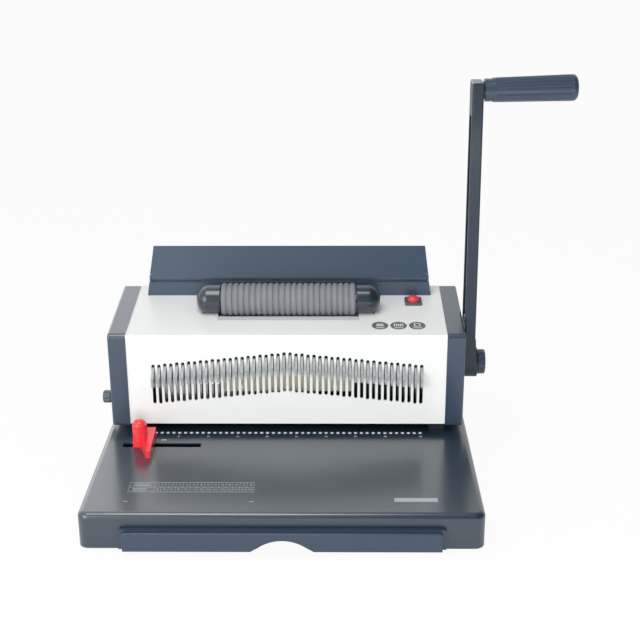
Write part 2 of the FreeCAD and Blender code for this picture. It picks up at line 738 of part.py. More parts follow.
def punch_beam():
    """Beam that carries the pins, with a deeper lip in the middle."""
    bar = box(-BEAM_HALF, BEAM_HALF, BEAM_FRONT, BEAM_REAR, BEAM_BOTTOM, BEAM_TOP)
    lip = box(PATTERN_OFFSET - LIP_HALF, PATTERN_OFFSET + LIP_HALF, BEAM_FRONT,
              BEAM_FRONT + LIP_DEPTH, BEAM_BOTTOM - LIP_DROP, BEAM_BOTTOM)
    beam = join(bar, lip)
    tools = []
    for i in range(HOLES):
        x = slot_x(i)
        low = tab_bottom(i)
        half = TAB_THICK / 2.0 + SLIDE_GAP
        tools.append(box(x - half, x + half, BEAM_FRONT - 1.0, PIN_Y + PIN_RADIUS + SLIDE_GAP,
                         low - SEAT_GAP, low + TAB_HEIGHT + SLIDE_GAP))
        tools.append(rod_z(x, PIN_Y, BEAM_BOTTOM - LIP_DROP - 1.0, low, PIN_RADIUS + RUNNING_FIT))
    tools += [rod_z(x, PIN_Y, BEAM_BOTTOM - 1.0, BEAM_TOP + 1.0, ROD_RADIUS + RUNNING_FIT)
              for x in (-ROD_X, ROD_X)]
    return beam.cut(Part.makeCompound(tools))


def beam_screws():
    """Bright screws on the lip of the beam."""
    z = BEAM_BOTTOM - LIP_DROP / 2.0
    heads = []
    for step in (-1, 0, 1):
        head = rod_y(PATTERN_OFFSET + step * BEAM_SCREW_PITCH, BEAM_FRONT - BEAM_SCREW_HEIGHT,
                     BEAM_FRONT, z, BEAM_SCREW_RADIUS)
        hexagon = [(BEAM_SCREW_RADIUS * 0.5 * math.cos(k * math.pi / 3.0),
                    BEAM_SCREW_RADIUS * 0.5 * math.sin(k * math.pi / 3.0)) for k in range(6)]
        x = PATTERN_OFFSET + step * BEAM_SCREW_PITCH
        socket = prism([(x + a, BEAM_FRONT - BEAM_SCREW_HEIGHT - 0.1, z + b) for a, b in hexagon], (0, 1.1, 0))
        heads.append(head.cut(socket))
    return heads


def punch_pins():
    """The punch pins, longer in the middle of the row."""
    pins = []
    for i in range(HOLES):
        tip = GUIDE_BOTTOM + TIP_HIDE + TIP_RISE * row_share(i)
        pins.append(rod_z(slot_x(i), PIN_Y, tip, tab_bottom(i) - SEAT_GAP, PIN_RADIUS))
    return pins


def pin_tabs():
    """Pull tabs that stick out through the slots, one over each pin."""
    tabs = []
    for i in range(HOLES):
        low = tab_bottom(i)
        high = low + TAB_HEIGHT
        back = PIN_Y + PIN_RADIUS
        outline = [(-TAB_OUT, low), (-TAB_OUT, high - TAB_STEP), (0.0, high - TAB_TOP_EDGE),
                   (TAB_TOP_EDGE, high), (back, high), (back, low)]
        x = slot_x(i) - TAB_THICK / 2.0
        tab = prism_x(outline, x, x + TAB_THICK)
        dot = rod_x(x - 1.0, x + TAB_THICK + 1.0, -TAB_OUT + 1.6, low + 1.6, TAB_DOT_RADIUS)
        tabs.append(tab.cut(dot))
    return tabs


def gear_outline(share):
    """Points of one gear tooth flank, from root to tip, as (radius, half angle)."""
    base = PITCH_RADIUS * math.cos(math.radians(PRESSURE_ANGLE))
    low = max(base, PITCH_RADIUS - RACK_ROOT_DEPTH)
    high = PITCH_RADIUS + MODULE
    radius = low + (high - low) * share
    half = (math.pi * MODULE - BACKLASH) / (4.0 * PITCH_RADIUS)
    pitch_roll = math.tan(math.radians(PRESSURE_ANGLE)) - math.radians(PRESSURE_ANGLE)
    press = math.acos(min(1.0, base / radius))
    return radius, half + pitch_roll - (math.tan(press) - press)


def gear_face(x):
    """Face of the pinion with a gap towards the rack."""
    corners = []
    steps = 5
    root = PITCH_RADIUS - RACK_ROOT_DEPTH
    for tooth in range(TEETH):
        middle = math.pi + (tooth + 0.5) * 2.0 * math.pi / TEETH
        flank = [gear_outline(step / (steps - 1.0)) for step in range(steps)]
        left = [(radius, middle - half) for radius, half in flank]
        right = [(radius, middle + half) for radius, half in reversed(flank)]
        ring = left + right
        if root < flank[0][0] - 1e-6:
            ring = [(root, left[0][1])] + ring + [(root, right[-1][1])]
        for radius, angle in ring:
            corners.append(Vector(x, SHAFT_Y + radius * math.cos(angle), SHAFT_HEIGHT + radius * math.sin(angle)))
    return Part.Face(Part.makePolygon(corners + corners[:1]))


def pinions():
    """Two pinions on the main shaft."""
    solids = []
    for side in (-1, 1):
        start = RACK_X + PINION_INSET if side > 0 else -RACK_X - RACK_WIDTH + PINION_INSET
        width = RACK_WIDTH - 2.0 * PINION_INSET
        gear = gear_face(start).extrude(Vector(width, 0, 0))
        bore = rod_x(start - 1.0, start + width + 1.0, SHAFT_Y, SHAFT_HEIGHT, SHAFT_RADIUS)
        solids.append(gear.cut(bore))
    return solids


def punch_racks():
    """Racks on the back of the beam, in mesh with the pinions at rest."""
    pitch = math.pi * MODULE
    tip = RACK_LINE + MODULE
    root = RACK_LINE - RACK_ROOT_DEPTH
    slant = math.tan(math.radians(PRESSURE_ANGLE))
    outline = [(BEAM_REAR, BEAM_BOTTOM), (root, BEAM_BOTTOM)]
    first = math.ceil((BEAM_BOTTOM + pitch / 2.0 - SHAFT_HEIGHT) / pitch)
    last = math.floor((BEAM_TOP - pitch / 2.0 - SHAFT_HEIGHT) / pitch)
    for tooth in range(first, last + 1):
        middle = SHAFT_HEIGHT + tooth * pitch
        half = (pitch - BACKLASH) / 4.0
        outline += [(root, middle - half - RACK_ROOT_DEPTH * slant), (tip, middle - half + MODULE * slant),
                    (tip, middle + half - MODULE * slant), (root, middle + half + RACK_ROOT_DEPTH * slant)]
    outline += [(root, BEAM_TOP), (BEAM_REAR, BEAM_TOP)]
    rack = prism_x(outline, RACK_X, RACK_X + RACK_WIDTH)
    return [mirrored(rack), rack]


def main_shaft():
    """Shaft from the left plate to the hub, with a stud for the clamp knob."""
    left = -HOUSING_HALF - SHAFT_END_GAP
    end = HUB_X + HUB_WIDTH
    shaft = rod_x(left, end, SHAFT_Y, SHAFT_HEIGHT, SHAFT_RADIUS)
    stud = rod_x(end, end + STUD_LENGTH, SHAFT_Y, SHAFT_HEIGHT, STAR_BORE)
    return join(shaft, stud)


def shaft_bushes():
    """Flanged bushes of the main shaft."""
    bore = rod_x(-HOUSING_HALF - 9.0, HOUSING_HALF + 9.0, SHAFT_Y, SHAFT_HEIGHT, SHAFT_RADIUS + RUNNING_FIT)
    sleeve = rod_x(PLATE_INNER, HOUSING_HALF, SHAFT_Y, SHAFT_HEIGHT, SHAFT_RADIUS + BUSH_WALL)
    flange = rod_x(PLATE_INNER - BUSH_FLANGE, PLATE_INNER, SHAFT_Y, SHAFT_HEIGHT, SHAFT_RADIUS + 2.0 * BUSH_WALL)
    bush = join(sleeve, flange).cut(bore)
    return [mirrored(bush), bush]


def handle_hub():
    """Hub on the shaft, with a neck and a tongue for the arm."""
    boss = rod_x(HUB_X, HUB_X + HUB_WIDTH, SHAFT_Y, SHAFT_HEIGHT, HUB_RADIUS)
    boss = boss.makeFillet(1.5, [edge for edge in boss.Edges
                                 if isinstance(edge.Curve, Part.Circle) and edge.CenterOfMass.x > HUB_X + 1.0])
    half = ARM_BOTTOM_DEPTH / 2.0
    bottom = SHAFT_HEIGHT
    neck = hull([(HUB_X, SHAFT_Y - HUB_RADIUS, bottom), (HUB_X + HUB_WIDTH - 1.5, SHAFT_Y - HUB_RADIUS, bottom),
                 (HUB_X + HUB_WIDTH - 1.5, SHAFT_Y + HUB_RADIUS, bottom), (HUB_X, SHAFT_Y + HUB_RADIUS, bottom)],
                [(ARM_X, SHAFT_Y - half, ARM_BASE), (HUB_X + NECK_WIDTH, SHAFT_Y - half, ARM_BASE),
                 (HUB_X + NECK_WIDTH, SHAFT_Y + half, ARM_BASE), (ARM_X, SHAFT_Y + half, ARM_BASE)])
    middle = ARM_X + ARM_WIDTH / 2.0
    tongue = box(middle - TONGUE_THICK / 2.0, middle + TONGUE_THICK / 2.0, SHAFT_Y - TONGUE_HALF,
                 SHAFT_Y + TONGUE_HALF, ARM_BASE - 1.0, ARM_BASE + TONGUE_HEIGHT)
    hub = join(boss, neck, tongue)
    tools = [rod_x(HUB_X - 1.0, HUB_X + HUB_WIDTH + 1.0, SHAFT_Y, SHAFT_HEIGHT, SHAFT_RADIUS)]
    tools += [rod_x(ARM_X - 2.0, ARM_X + ARM_WIDTH + 2.0, SHAFT_Y, z, ARM_SCREW_RADIUS)
              for z in arm_screw_heights()]
    return hub.cut(Part.makeCompound(tools))


def arm_screw_heights():
    """Heights of the two screws that hold the arm on the tongue."""
    return (ARM_BASE + TONGUE_HEIGHT * 0.3, ARM_BASE + TONGUE_HEIGHT * 0.75)


def arm_x(z):
    """Inner face of the arm at a height, with its slight lean."""
    return ARM_X - ARM_LEAN * (z - ARM_BASE) / (ARM_END - ARM_BASE)


def arm_half(z):
    """Half depth of the arm at a height."""
    share = (z - ARM_BASE) / (ARM_END - ARM_BASE)
    return (ARM_BOTTOM_DEPTH + (ARM_TOP_DEPTH - ARM_BOTTOM_DEPTH) * share) / 2.0


def arm_section(z, inset, start, width):
    """Four corners of the arm, or of a pocket in it, at a height."""
    half = arm_half(z) - inset
    left = arm_x(z) + start
    return [(left, SHAFT_Y - half, z), (left + width, SHAFT_Y - half, z),
            (left + width, SHAFT_Y + half, z), (left, SHAFT_Y + half, z)]


def handle_arm():
    """Long arm with a recess along its inner face."""
    arm = hull(arm_section(ARM_BASE, 0.0, 0.0, ARM_WIDTH), arm_section(ARM_END, 0.0, 0.0, ARM_WIDTH))
    arm = arm.makeFillet(1.6, [edge for edge in arm.Edges if edge.Length > ARM_TOP / 2.0])
    arm = arm.makeFillet(1.2, [edge for edge in arm.Edges if edge.CenterOfMass.z > ARM_END - 0.01])
    low = PLATFORM_TOP + ARM_RECESS_BOTTOM
    high = PLATFORM_TOP + ARM_RECESS_TOP
    recess = hull(arm_section(low, ARM_RECESS_EDGE, -1.0, ARM_RECESS_DEPTH + 1.0),
                  arm_section(high, ARM_RECESS_EDGE, -1.0, ARM_RECESS_DEPTH + 1.0))
    middle = ARM_X + ARM_WIDTH / 2.0
    pocket = box(middle - TONGUE_THICK / 2.0, middle + TONGUE_THICK / 2.0, SHAFT_Y - TONGUE_HALF,
                 SHAFT_Y + TONGUE_HALF, ARM_BASE - 1.0, ARM_BASE + TONGUE_HEIGHT)
    tools = [recess, pocket, grip_shape(-30.0, 2.0, BOLT_RADIUS)]
    for z in arm_screw_heights():
        tools.append(rod_x(ARM_X - 3.0, ARM_X + ARM_WIDTH + 3.0, SHAFT_Y, z, ARM_SCREW_RADIUS))
        tools.append(rod_x(ARM_X - 3.0, ARM_X + ARM_SCREW_SINK, SHAFT_Y, z, ARM_SCREW_HEAD))
    tools.append(grip_shape(-30.0, -ARM_WIDTH + BOLT_HEAD_SINK, BOLT_HEAD_RADIUS))
    return arm.cut(Part.makeCompound(tools))


def arm_screws():
    """Two screws through the arm and the tongue."""
    screws = []
    for z in arm_screw_heights():
        head = rod_x(ARM_X + 0.2, ARM_X + ARM_SCREW_SINK, SHAFT_Y, z, ARM_SCREW_HEAD)
        shank = rod_x(ARM_X + ARM_SCREW_SINK, ARM_X + ARM_WIDTH - 1.0, SHAFT_Y, z, ARM_SCREW_RADIUS)
        screws.append(join(head, shank))
    return screws


def grip_place(solid):
    """Put a solid made along X at the origin onto the rising axis of the grip."""
    placed = solid.copy()
    placed.rotate(Vector(0, 0, 0), Vector(0, -1, 0), GRIP_RISE)
    placed.translate(Vector(arm_x(GRIP_Z) + ARM_WIDTH, SHAFT_Y, GRIP_Z))
    return placed


def grip_shape(start, end, radius):
    """Cylinder on the grip's axis, measured from the outer face of the arm."""
    return grip_place(rod_x(start, end, 0.0, 0.0, radius))


def grip_bolt():
    """Bolt through the arm that the grip turns on."""
    head = grip_shape(-ARM_WIDTH + 0.4, -ARM_WIDTH + BOLT_HEAD_SINK, BOLT_HEAD_RADIUS)
    shank = grip_shape(-ARM_WIDTH + BOLT_HEAD_SINK, BOLT_END, BOLT_RADIUS)
    return join(head, shank)


def grip_washer():
    """Washer between the arm and the grip."""
    return grip_shape(0.15, 0.15 + WASHER_THICK, WASHER_RADIUS).cut(grip_shape(-1.0, 4.0, BOLT_RADIUS))


def handle_grip():
    """Fluted grip with a smaller collar next to the arm."""
    start = GRIP_START
    step = start + COLLAR_LENGTH
    end = step + GRIP_LENGTH
    nose = 5.0
    outline = [Vector(start, 0, 0), Vector(start, COLLAR_RADIUS, 0), Vector(step, COLLAR_RADIUS, 0),
               Vector(step, GRIP_INNER_RADIUS, 0), Vector(end - nose, GRIP_OUTER_RADIUS, 0)]
    edges = [Part.makeLine(a, b) for a, b in zip(outline, outline[1:])]
    tip = Vector(end, GRIP_OUTER_RADIUS - nose, 0)
    bend = nose * (1.0 - math.sqrt(0.5))
    edges.append(Part.Arc(outline[-1], Vector(end - bend, GRIP_OUTER_RADIUS - bend, 0), tip).toShape())
    edges += [Part.makeLine(tip, Vector(end, 0, 0)), Part.makeLine(Vector(end, 0, 0), outline[0])]
    grip = Part.Face(Part.Wire(edges)).revolve(Vector(0, 0, 0), X_AXIS, 360.0)
    flutes = []
    for index in range(GRIP_FLUTES):
        angle = (index + 0.5) * 2.0 * math.pi / GRIP_FLUTES
        low = GRIP_INNER_RADIUS + FLUTE_RADIUS * 0.55
        high = GRIP_OUTER_RADIUS + FLUTE_RADIUS * 0.55
        a = Vector(step + 3.0, low * math.cos(angle), low * math.sin(angle))
        b = Vector(end - nose - 2.0, high * math.cos(angle), high * math.sin(angle))
        flutes.append(Part.makeCylinder(FLUTE_RADIUS, (b - a).Length, a, b - a))
    bore = rod_x(start - 1.0, BOLT_END + 1.0, 0.0, 0.0, BOLT_RADIUS + RUNNING_FIT)
    return grip_place(grip.cut(Part.makeCompound(flutes + [bore])))


def star(x0, x1, y, z, radius, lobes, bore):
    """Knob along X with round notches between its lobes."""
    knob = rod_x(x0, x1, y, z, radius)
    knob = knob.makeChamfer(1.0, [edge for edge in knob.Edges if isinstance(edge.Curve, Part.Circle)])
    notch = math.pi * radius / lobes * 0.42
    tools = []
    for index in range(lobes):
        angle = (index + 0.5) * 2.0 * math.pi / lobes
        away = radius + notch * 0.35
        tools.append(rod_x(x0 - 1.0, x1 + 1.0, y + away * math.cos(angle), z + away * math.sin(angle), notch))
    if bore:
        tools.append(bore)
    return knob.cut(Part.makeCompound(tools))


def handle_knob():
    """Clamp knob on the end of the shaft."""
    start = HUB_X + HUB_WIDTH + SEAT_GAP
    bore = rod_x(start - 1.0, HUB_X + HUB_WIDTH + STUD_LENGTH + SEAT_GAP, SHAFT_Y, SHAFT_HEIGHT,
                 STAR_BORE + RUNNING_FIT)
    return star(start, start + STAR_THICK, SHAFT_Y, SHAFT_HEIGHT, STAR_RADIUS, STAR_LOBES, bore)


def skin_outline(inset):
    """Points of the front wall and sloping top, moved inwards."""
    front = inset
    turn = slope_z(front, -inset)
    return [(front, HOUSING_BOTTOM), (front, turn), (HOUSING_REAR, slope_z(HOUSING_REAR, -inset))]


def front_housing():
    """White shell: slotted front wall and sloping top in one bent sheet."""
    outer = skin_outline(0.0)
    inner = skin_outline(STEEL)
    skin = prism_x(outer + inner[::-1], -HOUSING_HALF, HOUSING_HALF)
    bend = along(skin, X_AXIS, lambda c: abs(c.y) < 0.01 and abs(c.z - BEND_Z) < 0.01)
    skin = skin.makeFillet(BEND_RADIUS, bend)
    flange = box(-PLATE_INNER + 1.0, PLATE_INNER - 1.0, 0.0, PLATE_FRONT, HOUSING_BOTTOM, HOUSING_BOTTOM + STEEL)
    skin = join(skin, flange)
    tools = []
    for i in range(HOLES):
        x = slot_x(i)
        low = slot_bottom(i) + SLOT_WIDTH / 2.0
        high = slot_bottom(i) + SLOT_LENGTH - SLOT_WIDTH / 2.0
        half = SLOT_WIDTH / 2.0
        bottom = [Vector(x - half, -1.0, low), Vector(x, -1.0, low - half), Vector(x + half, -1.0, low)]
        top = [Vector(x + half, -1.0, high), Vector(x, -1.0, high + half), Vector(x - half, -1.0, high)]
        edges = [Part.Arc(*bottom).toShape(), Part.makeLine(bottom[2], top[0]),
                 Part.Arc(*top).toShape(), Part.makeLine(top[2], bottom[0])]
        tools.append(Part.Face(Part.Wire(edges)).extrude(Vector(0, STEEL + 2.0, 0)))
    under = slope_z(0.0) - 10.0
    over = slope_z(HOUSING_REAR) + 10.0
    tools.append(box(CAP_LEFT - OPENING_OVERLAP, CAP_RIGHT + OPENING_OVERLAP,
                     OPENING_FRONT, OPENING_REAR, under, over))
    tools.append(box(PULLEY_X - BELT_SLOT_GAP, PULLEY_X + PULLEY_WIDTH + BELT_SLOT_GAP,
                     CAP_FOOT_FRONT + CAP_WALL, CAP_FOOT_REAR - CAP_WALL, under, over))
    half = BEZEL_BODY / 2.0 + SLIDE_GAP
    tools.append(on_slope(box(-half, half, -half, half, -STEEL - 1.0, 1.0), BUTTON_X, BUTTON_V))
    return skin.cut(Part.makeCompound(tools))


def roller_trough():
    """Bright lip in front of the roller that runs on as a trough under it."""
    lip_rear = OPENING_FRONT + LIP_STRIP
    left = CAP_LEFT - OPENING_OVERLAP + SLIDE_GAP
    right = CAP_RIGHT + OPENING_OVERLAP - SLIDE_GAP
    strip = prism_x([(OPENING_FRONT + SLIDE_GAP, slope_z(OPENING_FRONT + SLIDE_GAP, -TROUGH_THICK)),
                     (OPENING_FRONT + SLIDE_GAP, slope_z(OPENING_FRONT + SLIDE_GAP)),
                     (lip_rear, slope_z(lip_rear)), (lip_rear, slope_z(lip_rear, -TROUGH_THICK))], left, right)
    outer = rod_x(left, right, ROLLER_Y, ROLLER_HEIGHT, TROUGH_RADIUS + TROUGH_THICK)
    inner = rod_x(left - 1.0, right + 1.0, ROLLER_Y, ROLLER_HEIGHT, TROUGH_RADIUS)
    below = prism_x([(0.0, slope_z(0.0, -TROUGH_REACH)), (0.0, slope_z(0.0)),
                     (HOUSING_REAR, slope_z(HOUSING_REAR)), (HOUSING_REAR, slope_z(HOUSING_REAR, -TROUGH_REACH))],
                    left, right)
    inside = box(left, right, OPENING_FRONT, OPENING_REAR - SLIDE_GAP, 0.0, ROLLER_HEIGHT)
    arc = outer.cut(inner).common(below).common(inside)
    return join(strip, arc)


def roller_sleeve():
    """Rubber roller with a row of rounded rings."""
    length = ROLLER_RIGHT - ROLLER_LEFT
    pitch = length / ROLLER_RINGS
    root = ROLLER_RADIUS - RING_GROOVE
    edges = []
    start = Vector(ROLLER_LEFT, root, 0)
    for ring in range(ROLLER_RINGS):
        left = ROLLER_LEFT + ring * pitch
        low = Vector(left, root, 0)
        crown = Vector(left + pitch * RING_SHARE / 2.0, ROLLER_RADIUS, 0)
        high = Vector(left + pitch * RING_SHARE, root, 0)
        edges.append(Part.Arc(low, crown, high).toShape())
        edges.append(Part.makeLine(high, Vector(left + pitch, root, 0)))
    low = Vector(ROLLER_LEFT, ROLLER_SHAFT_RADIUS, 0)
    high = Vector(ROLLER_RIGHT, ROLLER_SHAFT_RADIUS, 0)
    edges += [Part.makeLine(Vector(ROLLER_RIGHT, root, 0), high), Part.makeLine(high, low),
              Part.makeLine(low, start)]
    sleeve = Part.Face(Part.Wire(edges)).revolve(Vector(0, 0, 0), X_AXIS, 360.0)
    sleeve.translate(Vector(0, ROLLER_Y, ROLLER_HEIGHT))
    return sleeve


def roller_shaft():
    """Steel shaft of the roller."""
    return rod_x(CAP_LEFT - CAP_INNER_WALL - ROLLER_BUSH_LENGTH + 1.0, PULLEY_X + PULLEY_WIDTH + 1.0,
                 ROLLER_Y, ROLLER_HEIGHT, ROLLER_SHAFT_RADIUS)


def pulley(y, z, radius, bore):
    """Flanged belt pulley along X."""
    left = PULLEY_X
    right = PULLEY_X + PULLEY_WIDTH
    core = rod_x(left, right, y, z, radius)
    near = rod_x(left, left + PULLEY_FLANGE, y, z, radius + PULLEY_FLANGE_RISE)
    far = rod_x(right - PULLEY_FLANGE, right, y, z, radius + PULLEY_FLANGE_RISE)
    return join(core, near, far).cut(rod_x(left - 1.0, right + 1.0, y, z, bore))


def roller_pulley():
    """Driven pulley on the roller shaft."""
    return pulley(ROLLER_Y, ROLLER_HEIGHT, ROLLER_PULLEY_RADIUS, ROLLER_SHAFT_RADIUS)


def motor_pulley():
    """Driving pulley with the shaft of the motor."""
    wheel = pulley(MOTOR_Y, MOTOR_HEIGHT, MOTOR_PULLEY_RADIUS, MOTOR_SHAFT_RADIUS)
    shaft = rod_x(BRACKET_X - MOTOR_SHAFT_SEAT, PULLEY_X + PULLEY_WIDTH, MOTOR_Y, MOTOR_HEIGHT, MOTOR_SHAFT_RADIUS)
    return join(wheel, shaft)


def belt_face(x, grow):
    """Face inside a belt line that runs round both pulleys."""
    a = Vector(x, ROLLER_Y, ROLLER_HEIGHT)
    b = Vector(x, MOTOR_Y, MOTOR_HEIGHT)
    ra = ROLLER_PULLEY_RADIUS + SEAT_GAP + grow
    rb = MOTOR_PULLEY_RADIUS + SEAT_GAP + grow
    span = b - a
    heading = math.atan2(span.z, span.y)
    turn = math.acos((ra - rb) / span.Length)

    def at(middle, radius, angle):
        return middle + Vector(0, radius * math.cos(angle), radius * math.sin(angle))

    a0 = at(a, ra, heading + turn)
    a1 = at(a, ra, heading + math.pi)
    a2 = at(a, ra, heading - turn)
    b0 = at(b, rb, heading - turn)
    b1 = at(b, rb, heading)
    b2 = at(b, rb, heading + turn)
    edges = [Part.Arc(a0, a1, a2).toShape(), Part.makeLine(a2, b0),
             Part.Arc(b0, b1, b2).toShape(), Part.makeLine(b2, a0)]
    return Part.Face(Part.Wire(edges))


def drive_belt():
    """Flat belt from the motor to the roller."""
    x = PULLEY_X + (PULLEY_WIDTH - BELT_WIDTH) / 2.0
    return belt_face(x, BELT_THICK).cut(belt_face(x, 0.0)).extrude(Vector(BELT_WIDTH, 0, 0))


def end_cap(side):
    """Rounded housing over one end of the roller; side is -1 or 1."""
    inner = CAP_LEFT if side < 0 else CAP_RIGHT
    outer = inner + side * CAP_LENGTH
    low, high = min(inner, outer), max(inner, outer)

    def shell(radius, left, right, front, rear, lift, corner):
        drum = rod_x(left, right, ROLLER_Y, ROLLER_HEIGHT, radius)
        drum = drum.makeFillet(corner, [edge for edge in drum.Edges if isinstance(edge.Curve, Part.Circle)
                                        and abs(edge.CenterOfMass.x - (right if side > 0 else left)) < 0.01])
        foot = prism_x([(front, slope_z(front, lift)), (front, ROLLER_HEIGHT), (rear, ROLLER_HEIGHT - 4.0),
                        (rear, slope_z(rear, lift))], left, right)
        lower = left + (corner * 0.5 if side < 0 else 0.0)
        upper = right - (corner * 0.5 if side > 0 else 0.0)
        foot = foot.common(box(lower, upper, front - 1.0, rear + 1.0, 0.0, ROLLER_HEIGHT))
        return join(drum, foot)

    cap = shell(CAP_RADIUS, low, high, CAP_FOOT_FRONT, CAP_FOOT_REAR, 0.0, CAP_ROUND)
    near = low + (CAP_INNER_WALL if side > 0 else CAP_WALL)
    far = high - (CAP_WALL if side > 0 else CAP_INNER_WALL)
    hollow = shell(CAP_RADIUS - CAP_WALL, near, far, CAP_FOOT_FRONT + CAP_WALL, CAP_FOOT_REAR - CAP_WALL,
                   -CAP_WALL, CAP_ROUND - CAP_WALL)
    above = prism_x([(0.0, slope_z(0.0)), (0.0, 300.0), (HOUSING_REAR, 300.0), (HOUSING_REAR, slope_z(HOUSING_REAR))],
                    low - 1.0, high + 1.0)
    bore = rod_x(min(inner, inner + side * CAP_INNER_WALL) - 0.5, max(inner, inner + side * CAP_INNER_WALL) + 0.5,
                 ROLLER_Y, ROLLER_HEIGHT, ROLLER_BUSH_RADIUS)
    return cap.cut(hollow).cut(bore).common(above)


def roller_bushes():
    """Bushes of the roller shaft in the inner walls of the caps."""
    bushes = []
    for side, inner in ((-1, CAP_LEFT), (1, CAP_RIGHT)):
        outer = inner + side * ROLLER_BUSH_LENGTH
        low, high = min(inner, outer), max(inner, outer)
        ring = rod_x(low, high, ROLLER_Y, ROLLER_HEIGHT, ROLLER_BUSH_RADIUS)
        bushes.append(ring.cut(rod_x(low, high, ROLLER_Y, ROLLER_HEIGHT, ROLLER_SHAFT_RADIUS + RUNNING_FIT)))
    return bushes


def drive_motor():
    """Geared motor of the roller."""
    start = BRACKET_X - MOTOR_LENGTH
    step = BRACKET_X - GEARBOX_LENGTH
    body = rod_x(start, step, MOTOR_Y, MOTOR_HEIGHT, MOTOR_RADIUS - GEARBOX_STEP)
    gearbox = rod_x(step, BRACKET_X, MOTOR_Y, MOTOR_HEIGHT, MOTOR_RADIUS)
    bore = rod_x(BRACKET_X - MOTOR_SHAFT_SEAT - SEAT_GAP, BRACKET_X + 1.0, MOTOR_Y, MOTOR_HEIGHT,
                 MOTOR_SHAFT_RADIUS + RUNNING_FIT)
    return join(body, gearbox).cut(bore)


def motor_bracket():
    """Plate that holds the motor to the cross bar."""
    bar_top = BAR_BOTTOM + BAR_HEIGHT
    rear = BAR_FRONT + BAR_DEPTH
    plate = prism_x([(MOTOR_Y - MOTOR_RADIUS, MOTOR_HEIGHT - MOTOR_RADIUS),
                     (MOTOR_Y - MOTOR_RADIUS, MOTOR_HEIGHT + MOTOR_RADIUS),
                     (rear, MOTOR_HEIGHT + MOTOR_RADIUS), (rear, bar_top), (BAR_FRONT, bar_top)],
                    BRACKET_X, BRACKET_X + BRACKET_THICK)
    flange = box(BRACKET_X - BRACKET_FOOT, BRACKET_X + BRACKET_THICK, BAR_FRONT - BRACKET_THICK, BAR_FRONT,
                 BAR_BOTTOM + BRACKET_RISE, bar_top + BRACKET_RISE)
    hole = rod_x(BRACKET_X - 1.0, BRACKET_X + BRACKET_THICK + 1.0, MOTOR_Y, MOTOR_HEIGHT, MOTOR_SHAFT_RADIUS + 3.0)
    return join(plate, flange).cut(hole)


def rear_rail():
    """Rail across the back of the top, with two ears for the lid."""
    front_top = RAIL_FRONT + RAIL_LEAN
    rear_top = RAIL_REAR - RAIL_LEAN
    low, high = RAIL_HALF_BOTTOM, RAIL_HALF_TOP
    body = prism_x([(RAIL_FRONT, slope_z(RAIL_FRONT)), (RAIL_REAR, slope_z(RAIL_REAR)),
                    (rear_top, RAIL_TOP_Z), (front_top, RAIL_TOP_Z)], -low, low)
    foot = slope_z(RAIL_FRONT)
    ends = prism([(-low, 0.0, foot), (low, 0.0, foot), (high, 0.0, RAIL_TOP_Z), (-high, 0.0, RAIL_TOP_Z)],
                 (0, HOUSING_REAR, 0))
    body = body.common(ends)
    ears = []
    for side in (-1, 1):
        outer = side * LID_HALF_BOTTOM
        inner = outer - side * EAR_THICK
        left, right = min(inner, outer), max(inner, outer)
        web = box(left, right, LID_Y - LID_BARREL, LID_Y + LID_BARREL, RAIL_TOP_Z - 1.0, HINGE_Z)
        ears.append(web)
        ears.append(rod_x(left, right, LID_Y, HINGE_Z, LID_BARREL))
    rail = join(body, *ears)
    return rail.cut(rod_x(-LID_HALF_BOTTOM - 1.0, LID_HALF_BOTTOM + 1.0, LID_Y, HINGE_Z, LID_PIN_RADIUS))


def lean(solid):
    """Lean a solid made upright on the hinge axis back by the lid's angle."""
    placed = solid.copy()
    placed.rotate(Vector(0, 0, 0), X_AXIS, -LID_LEAN)
    placed.translate(Vector(0, LID_Y, HINGE_Z))
    return placed


def rear_lid():
    """Thin lid with a thicker band and a barrel along its lower edge."""
    barrel_half = LID_HALF_BOTTOM - EAR_THICK - SEAT_GAP
    barrel = rod_x(-barrel_half, barrel_half, 0.0, 0.0, LID_BARREL)
    front = -LID_BARREL + LID_BAND_PROUD
    start = LID_BARREL + SEAT_GAP

    def sheet(z0, z1, y0, y1):
        a = LID_HALF_BOTTOM - LID_TAPER * z0 / LID_LENGTH
        b = LID_HALF_BOTTOM - LID_TAPER * z1 / LID_LENGTH
        return hull([(-a, y0, z0), (a, y0, z0), (a, y1, z0), (-a, y1, z0)],
                    [(-b, y0, z1), (b, y0, z1), (b, y1, z1), (-b, y1, z1)])

    panel = sheet(start, LID_LENGTH, front, front + LID_THICK)
    rear = front + LID_THICK + LID_BAND_REAR
    band = sheet(start, start + LID_BAND, -LID_BARREL, rear)
    web = box(-barrel_half, barrel_half, -LID_BARREL, rear, 0.0, start)
    lid = join(panel, band, web, barrel)
    pin_space = barrel_half - LID_PIN_LENGTH + EAR_THICK
    tools = []
    for side in (-1, 1):
        a, b = side * pin_space, side * (LID_HALF_BOTTOM + 1.0)
        tools.append(rod_x(min(a, b), max(a, b), 0.0, 0.0, LID_PIN_RADIUS + RUNNING_FIT))
    return lean(lid.cut(Part.makeCompound(tools)))


def lid_hinge_pins():
    """Pins between the ears of the rail and the barrel of the lid."""
    pin = rod_x(LID_HALF_BOTTOM - LID_PIN_LENGTH, LID_HALF_BOTTOM, LID_Y, HINGE_Z, LID_PIN_RADIUS)
    return [mirrored(pin), pin]


